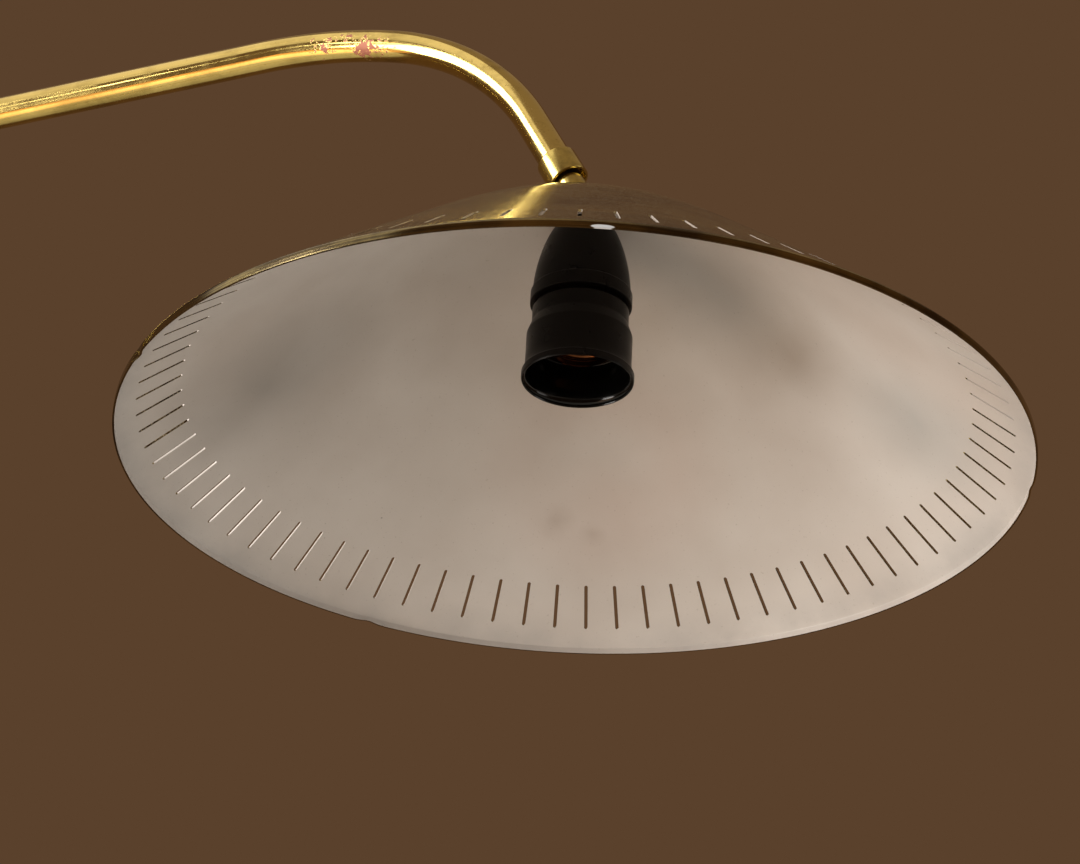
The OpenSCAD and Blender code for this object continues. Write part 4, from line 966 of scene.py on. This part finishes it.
def rolled_shell(radius, top, low, pitch, depth, gauge, columns=96, per_turn=14):
    """r = radius + depth cos(2 pi z / pitch - u), down the outside and back up the inside.

    The thread fades out over the last RUN_OUT millimetres at both ends."""
    z = np.linspace(top, low, int((top - low) / pitch * per_turn))[:, None]
    u = turn_of(columns)
    fade = np.clip(np.minimum(top - z, z - low) / RUN_OUT, 0, 1)
    r = radius + depth * fade * np.cos(2 * np.pi * z / pitch - u)
    outside, inside = [round_z(q, u, z) for q in (r, r - gauge)]
    return woven(np.concatenate([outside, inside[::-1]]), ring=True)


screw_shell = rolled_shell(13.4, top=-34.9, low=-56.9, pitch=3.62, depth=0.48, gauge=0.3)
# Its sheet brass is darkened far below bare brass, as painted shade inside the skirt.
piece("screw_shell_rolled", [placed(screw_shell, on_axis, (0, 0, 1))], shade_darkened_brass, "head",
      "screw_shell")

# %% [markdown]
# ## The base
# An iron weight sits under a spun brass cover, on felt. The cover's rim is rolled to a radius of
# 6 mm, and its top is a very flat cone up to the pole's foot, which is turned with a hollow curve.
# A rubber bush in the rim is the way in for a lead.

# %% Base cover and felt
BASE_R, BASE_H, RIM_H, BASE_ROUND, COVER_LOW = 140.0, 34.0, 20.0, 6.0, 2.8
COVER_T, SEAT_R, STUD_R, FELT_R, FELT_T = 1.0, 26.0, 6.7, 132.7, 2.0
cone = np.degrees(np.arctan((BASE_H - RIM_H) / (BASE_R - BASE_ROUND - SEAT_R)))


def cover_line(inset):
    """The cover's section: rim, a rounding of BASE_ROUND less the inset, cone, and flat seat."""
    a = np.radians(np.linspace(0, 90 - cone, 14))
    arc = np.stack([BASE_R - BASE_ROUND + (BASE_ROUND - inset) * np.cos(a),
                    RIM_H - BASE_ROUND + (BASE_ROUND - inset) * np.sin(a)], -1)
    out = np.linspace(arc[-1], (SEAT_R + 3.0, BASE_H - inset - 0.35), 30)[1:]
    return np.vstack([[(BASE_R - inset, COVER_LOW + 0.4), (BASE_R - inset, 8.0)], arc, out,
                      [(SEAT_R, BASE_H - inset), (STUD_R, BASE_H - inset)]])


section = np.vstack([cover_line(0.0), cover_line(COVER_T)[::-1]])
piece("base_cover_spun", [woven(turned(section, 256), ring=True)], cover_brass, "base",
      "base_cover")
pad = solid([(0, 0), (FELT_R, 0), (FELT_R, FELT_T), (0, FELT_T)], 0.7, 192)
piece("felt_pad_cut", [pad], felt, "base", "felt_pad")

# %% Foot of the pole
LOWER_R, UPPER_R, TUBE_T, FIT = 10.0, 8.0, 1.0, 0.03
FOOT_R, FOOT_TOP_R, FOOT_H, FOOT_RIM, FOOT_FLOOR = 23.0, 12.6, 26.0, 3.0, 6
a = np.linspace(0, np.pi / 2, 22)
hollow = np.stack([FOOT_R - (FOOT_R - FOOT_TOP_R) * np.sin(a),
                   BASE_H + FOOT_RIM + (FOOT_H - FOOT_RIM) * (1 - np.cos(a))], -1)
rim = softened([(STUD_R, BASE_H), (FOOT_R, BASE_H), hollow[0], hollow[1]], 0.5)
hole = softened([hollow[-1], (LOWER_R + FIT, BASE_H + FOOT_H), (LOWER_R + FIT, BASE_H + FOOT_FLOOR),
                 (STUD_R, BASE_H + FOOT_FLOOR)], 0.4)
foot = woven(turned(np.vstack([rim[:-1], hollow[1:-1], hole]), 128), ring=True)
piece("pole_foot_turned", [foot], turned_brass, "base", "pole_foot")

# %% Bush in the rim
INLET_H, BUSH_BORE, BUSH_R, BUSH_RIM_R = 9.0, 3.5, 4.5, 5.7
bush = wall([(BUSH_BORE, -1.2), (BUSH_BORE, 3.0), (BUSH_RIM_R, 3.0), (BUSH_RIM_R, 0.1),
             (BUSH_R, 0.1), (BUSH_R, -1.2)], 0.5, 48)
piece("inlet_bush_moulded", [placed(bush, (-BASE_R, 0, INLET_H), (-1, 0, 0))], rubber, "base",
      "inlet_bush")

# %% [markdown]
# ## The pole
# Two drawn tubes telescope. A collar on the lower one guides the upper, and a thumbscrew through
# the collar clamps it. At the top a socket takes the stem of the swivelling fork.


# %% Tubes
LOWER_LOW, LOWER_TOP, UPPER_LOW, UPPER_TOP = 40.0, 786.0, 480.0, 1330.0
for name, node, outer, low, high, body in (
        ("lower_tube_drawn", "lower_tube", LOWER_R, LOWER_LOW, LOWER_TOP, "base"),
        ("upper_tube_drawn", "upper_tube", UPPER_R, UPPER_LOW, UPPER_TOP, "upper_pole")):
    piece(name, [tube(outer - TUBE_T, outer, low, high, 0.25)], pole_brass, body, node)

# %% Clamp collar, with a groove near each end
CLAMP_R, GROOVE_R, CLAMP_LOW, CLAMP_TOP, GROOVE = 14, 13.6, 770, 808, 3.6
GUIDE_R, GUIDE_TOP, CLAMP_TOP_BORE, KNOB_Z, COLLAR_SCREW_Z = 9.65, 806.4, 8.3, 797.0, 778.0
grooves = [(r, z) for middle in (CLAMP_LOW + GROOVE, CLAMP_TOP - GROOVE)
           for r, z in ((CLAMP_R, middle - 0.4), (GROOVE_R, middle), (CLAMP_R, middle + 0.4))]
clamp = wall([(LOWER_R + FIT, CLAMP_LOW), (CLAMP_R, CLAMP_LOW), *grooves, (CLAMP_R, CLAMP_TOP),
              (CLAMP_TOP_BORE, CLAMP_TOP), (CLAMP_TOP_BORE, GUIDE_TOP), (GUIDE_R, GUIDE_TOP),
              (GUIDE_R, LOWER_TOP), (LOWER_R + FIT, LOWER_TOP)], 0.35)
piece("clamp_collar_turned", [clamp], turned_brass, "base", "clamp_collar")

# %% Swivel socket, thrust washer and set screws
SOCKET_R, SOCKET_END_R, SOCKET_LOW, SOCKET_TOP, SOCKET_BORE = 11.5, 10.3, 1315, 1349, 6.05
THRUST_BORE, THRUST_T, STOP_Z = 6.3, 1, 1339.5
corner = SOCKET_R - SOCKET_END_R
socket = wall([(UPPER_R + FIT, SOCKET_LOW), (SOCKET_END_R, SOCKET_LOW),
               (SOCKET_R, SOCKET_LOW + corner), (SOCKET_R, SOCKET_TOP - corner),
               (SOCKET_END_R, SOCKET_TOP), (SOCKET_BORE, SOCKET_TOP), (SOCKET_BORE, UPPER_TOP),
               (UPPER_R + FIT, UPPER_TOP)], 0.4)
piece("swivel_socket_turned", [socket], turned_brass, "upper_pole", "swivel_socket")
thrust = tube(THRUST_BORE, SOCKET_END_R, SOCKET_TOP, SOCKET_TOP + THRUST_T, 0.2)
piece("thrust_washer_cut", [thrust], nylon, "swivel", "thrust_washer")
screw("collar_set_screw", "collar_screw", (0, 11.0, COLLAR_SCREW_Z), (0, 1, 0), 2.0, 2.6, "base")
screw("stop_set_screw", "stop_screw", (-8.6, 0, STOP_Z), (-1, 0, 0), 2.0, 2.6, "upper_pole")


# %% Thumbscrew
def knob(radius, height, bore_r=0.0):
    """A fluted head from z = 0 up, with a shoulder, a broken edge and a shallow dish on top."""
    line = [(bore_r, 0), (radius - 1.6, 0), (radius, 1.1), (radius, height - 1.1),
            (radius - 1.0, height), (radius * 0.72, height), (radius * 0.66, height - 0.5),
            (bore_r, height - 0.5)]
    return (wall if bore_r else solid)(line, 0.4, 320, flutes=20, dip=0.55)


def threaded(radius, low, high, pitch=1.0, depth=0.28, columns=48):
    """r = radius - depth |2 frac(z / pitch - u / 2 pi) - 1|, closed with poles at both ends."""
    z = np.linspace(low, high, int((high - low) / pitch * 8))[:, None]
    u = turn_of(columns)
    r = radius - depth * np.abs(2 * ((z / pitch - u / (2 * np.pi)) % 1.0) - 1)
    return woven(capped(round_z(r, u, z)))


SCREW_R, TIP_AT, HEAD_AT, HEAD_R, HEAD_H = 3.0, 8.35, 16, 9.0, 9.0
thumbscrew = [placed(knob(HEAD_R, HEAD_H), (0, -HEAD_AT, KNOB_Z), (0, -1, 0)),
              placed(threaded(SCREW_R, TIP_AT, HEAD_AT + 0.2), (0, 0, KNOB_Z), (0, -1, 0))]
piece("thumbscrew_turned", thumbscrew, turned_brass, "height_screw", "height_screw")

# %% [markdown]
# ## The pole's head
# The fork turns on the pole, and between its cheeks the arm's knuckle tilts on a bolt. Fibre
# washers on both sides of the knuckle give the friction, and the knob on the bolt's end sets it.

# %% Fork
FORK_LOW, FORK_FLOOR, FORK_R, PIN_R, PIN_LOW = 1350.0, 8.0, 15.0, 6.0, 1326.2
CHEEK_IN, CHEEK_OUT, DRUM_R, DRUM_W = 7.9, 11.9, 13.0, 14.0
disc = circle(FORK_R, 128)
disc[:, 1] = np.clip(disc[:, 1], -CHEEK_OUT, CHEEK_OUT)
pin = solid([(0, FORK_LOW + 1), (PIN_R, FORK_LOW + 1), (PIN_R, PIN_LOW), (0, PIN_LOW)])
fork = [slab(disc, FORK_LOW, FORK_LOW + FORK_FLOOR, 0.5), pin,
        *cheeks(FORK_R, DRUM_R, TILT_AXIS, 1, FORK_LOW + 7.6, CHEEK_IN, CHEEK_OUT, 0.5, 49)]
piece("swivel_fork_milled", fork, turned_brass, "swivel", "swivel_fork")

# %% Bolt, washers and tilt knob
BOLT_R, BOLT_HEAD_R, BOLT_HEAD_H, BOLT_LEN, WASHER_BORE = 3, 6.0, 3.0, 33.1, 3.3
FRICTION_R, WASHER_SHEET, SPRING_R, SPRING_DISH, TILT_KNOB_R = 12, 0.8, 6, 0.35, 11.0
FRICTION_Y, SPRING_Y, TILT_KNOB_Y = 7.05, 11.97, 13.2
at_tilt = np.array([0.0, 0.0, TILT_AXIS])
bolt = [*slotted(BOLT_HEAD_R, BOLT_HEAD_H, 1.2, 1.0),
        solid([(0, 0.1), (BOLT_R, 0.1), (BOLT_R, -BOLT_LEN), (0, -BOLT_LEN)])]
piece("pivot_bolt_turned", [placed(s, at_tilt - (0, CHEEK_OUT, 0), (0, -1, 0)) for s in bolt],
      turned_brass, "swivel", "pivot_bolt")
friction = tube(WASHER_BORE, FRICTION_R, 0, WASHER_SHEET, 0.15)
discs = [placed(friction, at_tilt + (0, side * FRICTION_Y, 0), (0, side, 0)) for side in (1, -1)]
piece("friction_washers_cut", discs, fibre, "swivel", "friction_washers")
spring = wall([(WASHER_BORE, 0), (SPRING_R, SPRING_DISH), (SPRING_R, SPRING_DISH + WASHER_SHEET),
               (WASHER_BORE, WASHER_SHEET)], 0.15, 64)
spring = placed(spring, at_tilt + (0, SPRING_Y, 0), (0, 1, 0))
piece("spring_washer_dished", [spring], steel, "swivel", "spring_washer")
tilt_knob = placed(knob(TILT_KNOB_R, 9.0, 3.05), at_tilt + (0, TILT_KNOB_Y, 0), (0, 1, 0))
piece("tilt_knob_turned", [tilt_knob], turned_brass, "tilt_knob", "tilt_knob")

# %% Knuckle and ferrule of the arm
FERRULE_R, FERRULE_START, FERRULE_LEN, NECK = 8.8, 19.0, 32.0, 13.6
SCREW_ALONG, SCREW_OUT = 38.2, 7.2
arm_line = np.array([heading(RISE)[0], 0.0, heading(RISE)[1]])
drum = placed(slab(circle(DRUM_R, 96), -DRUM_W / 2, DRUM_W / 2, 0.5), at_tilt, (0, 1, 0))
neck = slab(CORNERS * (FERRULE_R - 0.02, NECK / 2), 2.0, FERRULE_START + 1.0, 0.3)
neck = placed(neck, at_tilt, arm_line)
ferrule_end = FERRULE_START + FERRULE_LEN
ferrule = wall([(bore, FERRULE_START), (FERRULE_R, FERRULE_START), (FERRULE_R, ferrule_end - 1.4),
                (FERRULE_R - 1.0, ferrule_end), (bore, ferrule_end)], 0.4)
piece("arm_knuckle_milled", [drum, neck, placed(ferrule, at_tilt, arm_line)], turned_brass, "arm",
      "arm_knuckle")
under = np.cross((0, 1, 0), arm_line)
screw("ferrule_set_screw", "ferrule_screw", at_tilt + arm_line * SCREW_ALONG + under * SCREW_OUT,
      under, 1.5, 1.5, "arm")

# %% [markdown]
# ## Stage
# The photograph looks up at the shade, so the camera stands low, at the photographed angle. The
# floor is plain, pale and round. A tall soft lamp stands far to the left and a weaker one to the
# right, because the shade's inside is lit from both sides. Two wide, dim ones hang over the arm,
# and a warm one lies low. Polished brass shows its lamps, so their places are read from the bright
# bands on the arm: the tall lamp is the white streak that runs down to the collar, and a thin one
# is the narrow line below it.


# %% Floor
FLOOR_R, FLOOR_X, FLOOR_SIDES = 1.5, 0.2, 128  # in metres
floor_finish, feed_floor, floor_place = new_finish("Pale matt floor", Roughness=0.8)
cloudy = add(floor_finish, "TexNoise", floor_place, across(300), 4.0, 0.6)
feed_floor("Base Color", add(floor_finish, "Mix", cloudy, "#D2CDC4", "#D8D3CA", data_type="RGBA"))
floor_mesh = bpy.data.meshes.new("floor")
edge = np.hstack([circle(FLOOR_R, FLOOR_SIDES) + (FLOOR_X, 0.0), np.zeros((FLOOR_SIDES, 1))])
floor_mesh.from_pydata(edge, [], [range(FLOOR_SIDES)])
floor_mesh.materials.append(floor_finish)
floor = bpy.data.objects.new("floor", floor_mesh)
bpy.context.scene.collection.objects.link(floor)
print("floor: round,", 2 * FLOOR_R, "m across")

# %% Background and fill light
world = bpy.data.worlds.new("studio")
bpy.context.scene.world = world
world.use_nodes = True
world.node_tree.nodes.clear()
rays = add(world, "LightPath").node.outputs
shown = add(world, "Math", rays["Is Camera Ray"], rays["Is Glossy Ray"], operation="MAXIMUM")
shown = add(world, "Math", shown, rays["Is Transmission Ray"], operation="MAXIMUM")
fill = add(world, "Background", "#F2EEE8", 0.3)
seen = add(world, "Background", "#5A412C", 1.0)
add(world, "OutputWorld", add(world, "MixShader", shown, fill, seen))
print("world: soft fill, plain brown behind")


# %% Lamps
def soft_lamp(name, azimuth, elevation, distance, size, radiance, colour="#FFFAF4"):
    """An area lamp that looks at the shade, from a direction in degrees round +Z.

    Its power is radiance x pi x area, so the number says how bright it looks in a mirror."""
    az, el = np.radians(azimuth), np.radians(elevation)
    aim = np.array([AXIS_X, 0.0, RIM_Z + 60.0]) * MM
    away = np.array([np.cos(el) * np.cos(az), np.cos(el) * np.sin(az), np.sin(el)])
    data = bpy.data.lights.new(name, "AREA")
    data.shape, data.size, data.size_y = "RECTANGLE", *size
    data.energy, data.color = radiance * np.pi * size[0] * size[1], linear(colour)[:3]
    lamp = bpy.data.objects.new(name, data)
    bpy.context.scene.collection.objects.link(lamp)
    x = np.cross([0.0, 0.0, 1.0], away)
    x /= np.linalg.norm(x)
    pose = np.eye(4)
    pose[:3] = np.stack([x, np.cross(away, x), away, aim + away * distance], -1)
    lamp.matrix_world = Matrix(pose.tolist())
    lamp.visible_camera = False
    print(f"{name}: {radiance} W per square metre and steradian, {distance} m away")


soft_lamp("tall_left_lamp", -140, 1, 3.0, (1.4, 2.7), 12.0)
soft_lamp("right_lamp", 14, -10, 1.7, (0.7, 0.9), 2.6)
soft_lamp("overhead_left_lamp", -140, 48, 1.8, (1.7, 1.5), 0.75)
soft_lamp("ceiling_lamp", -80, 80, 2.2, (3.6, 4.2), 0.16, "#FFF1DE")
soft_lamp("low_warm_lamp", -141, -38, 1.4, (0.8, 0.6), 1.3, "#FFBC80")
soft_lamp("thin_lamp", -122, 4, 1.83, (0.08, 0.16), 8.0)

# %% [markdown]
# ## Camera
# The view was worked out from the rim's ellipse: a long lens, 1.34 m from the rim's centre, looking
# up by 27.8 degrees and rolled by 3.1. The columns of the camera's matrix are its right, up and
# backward directions.

# %% Camera
SENSOR, LENS = 36.0, 113.84
EYE = np.array([921.656, -1098.584, 553.923])
RIGHT = np.array([0.928935, 0.367189, 0.047453])
UP = np.array([0.132302, -0.448913, 0.883727])
camera_data = bpy.data.cameras.new("camera")
camera_data.sensor_fit, camera_data.sensor_width, camera_data.lens = "HORIZONTAL", SENSOR, LENS
camera = bpy.data.objects.new("camera", camera_data)
bpy.context.scene.collection.objects.link(camera)
view = np.eye(4)
view[:3] = np.stack([RIGHT, UP, np.cross(RIGHT, UP), EYE * MM], -1)
camera.matrix_world = Matrix(view.tolist())
bpy.context.scene.camera = camera
bpy.context.scene.view_settings.view_transform = "Standard"
print("camera at", (EYE * MM).round(3))
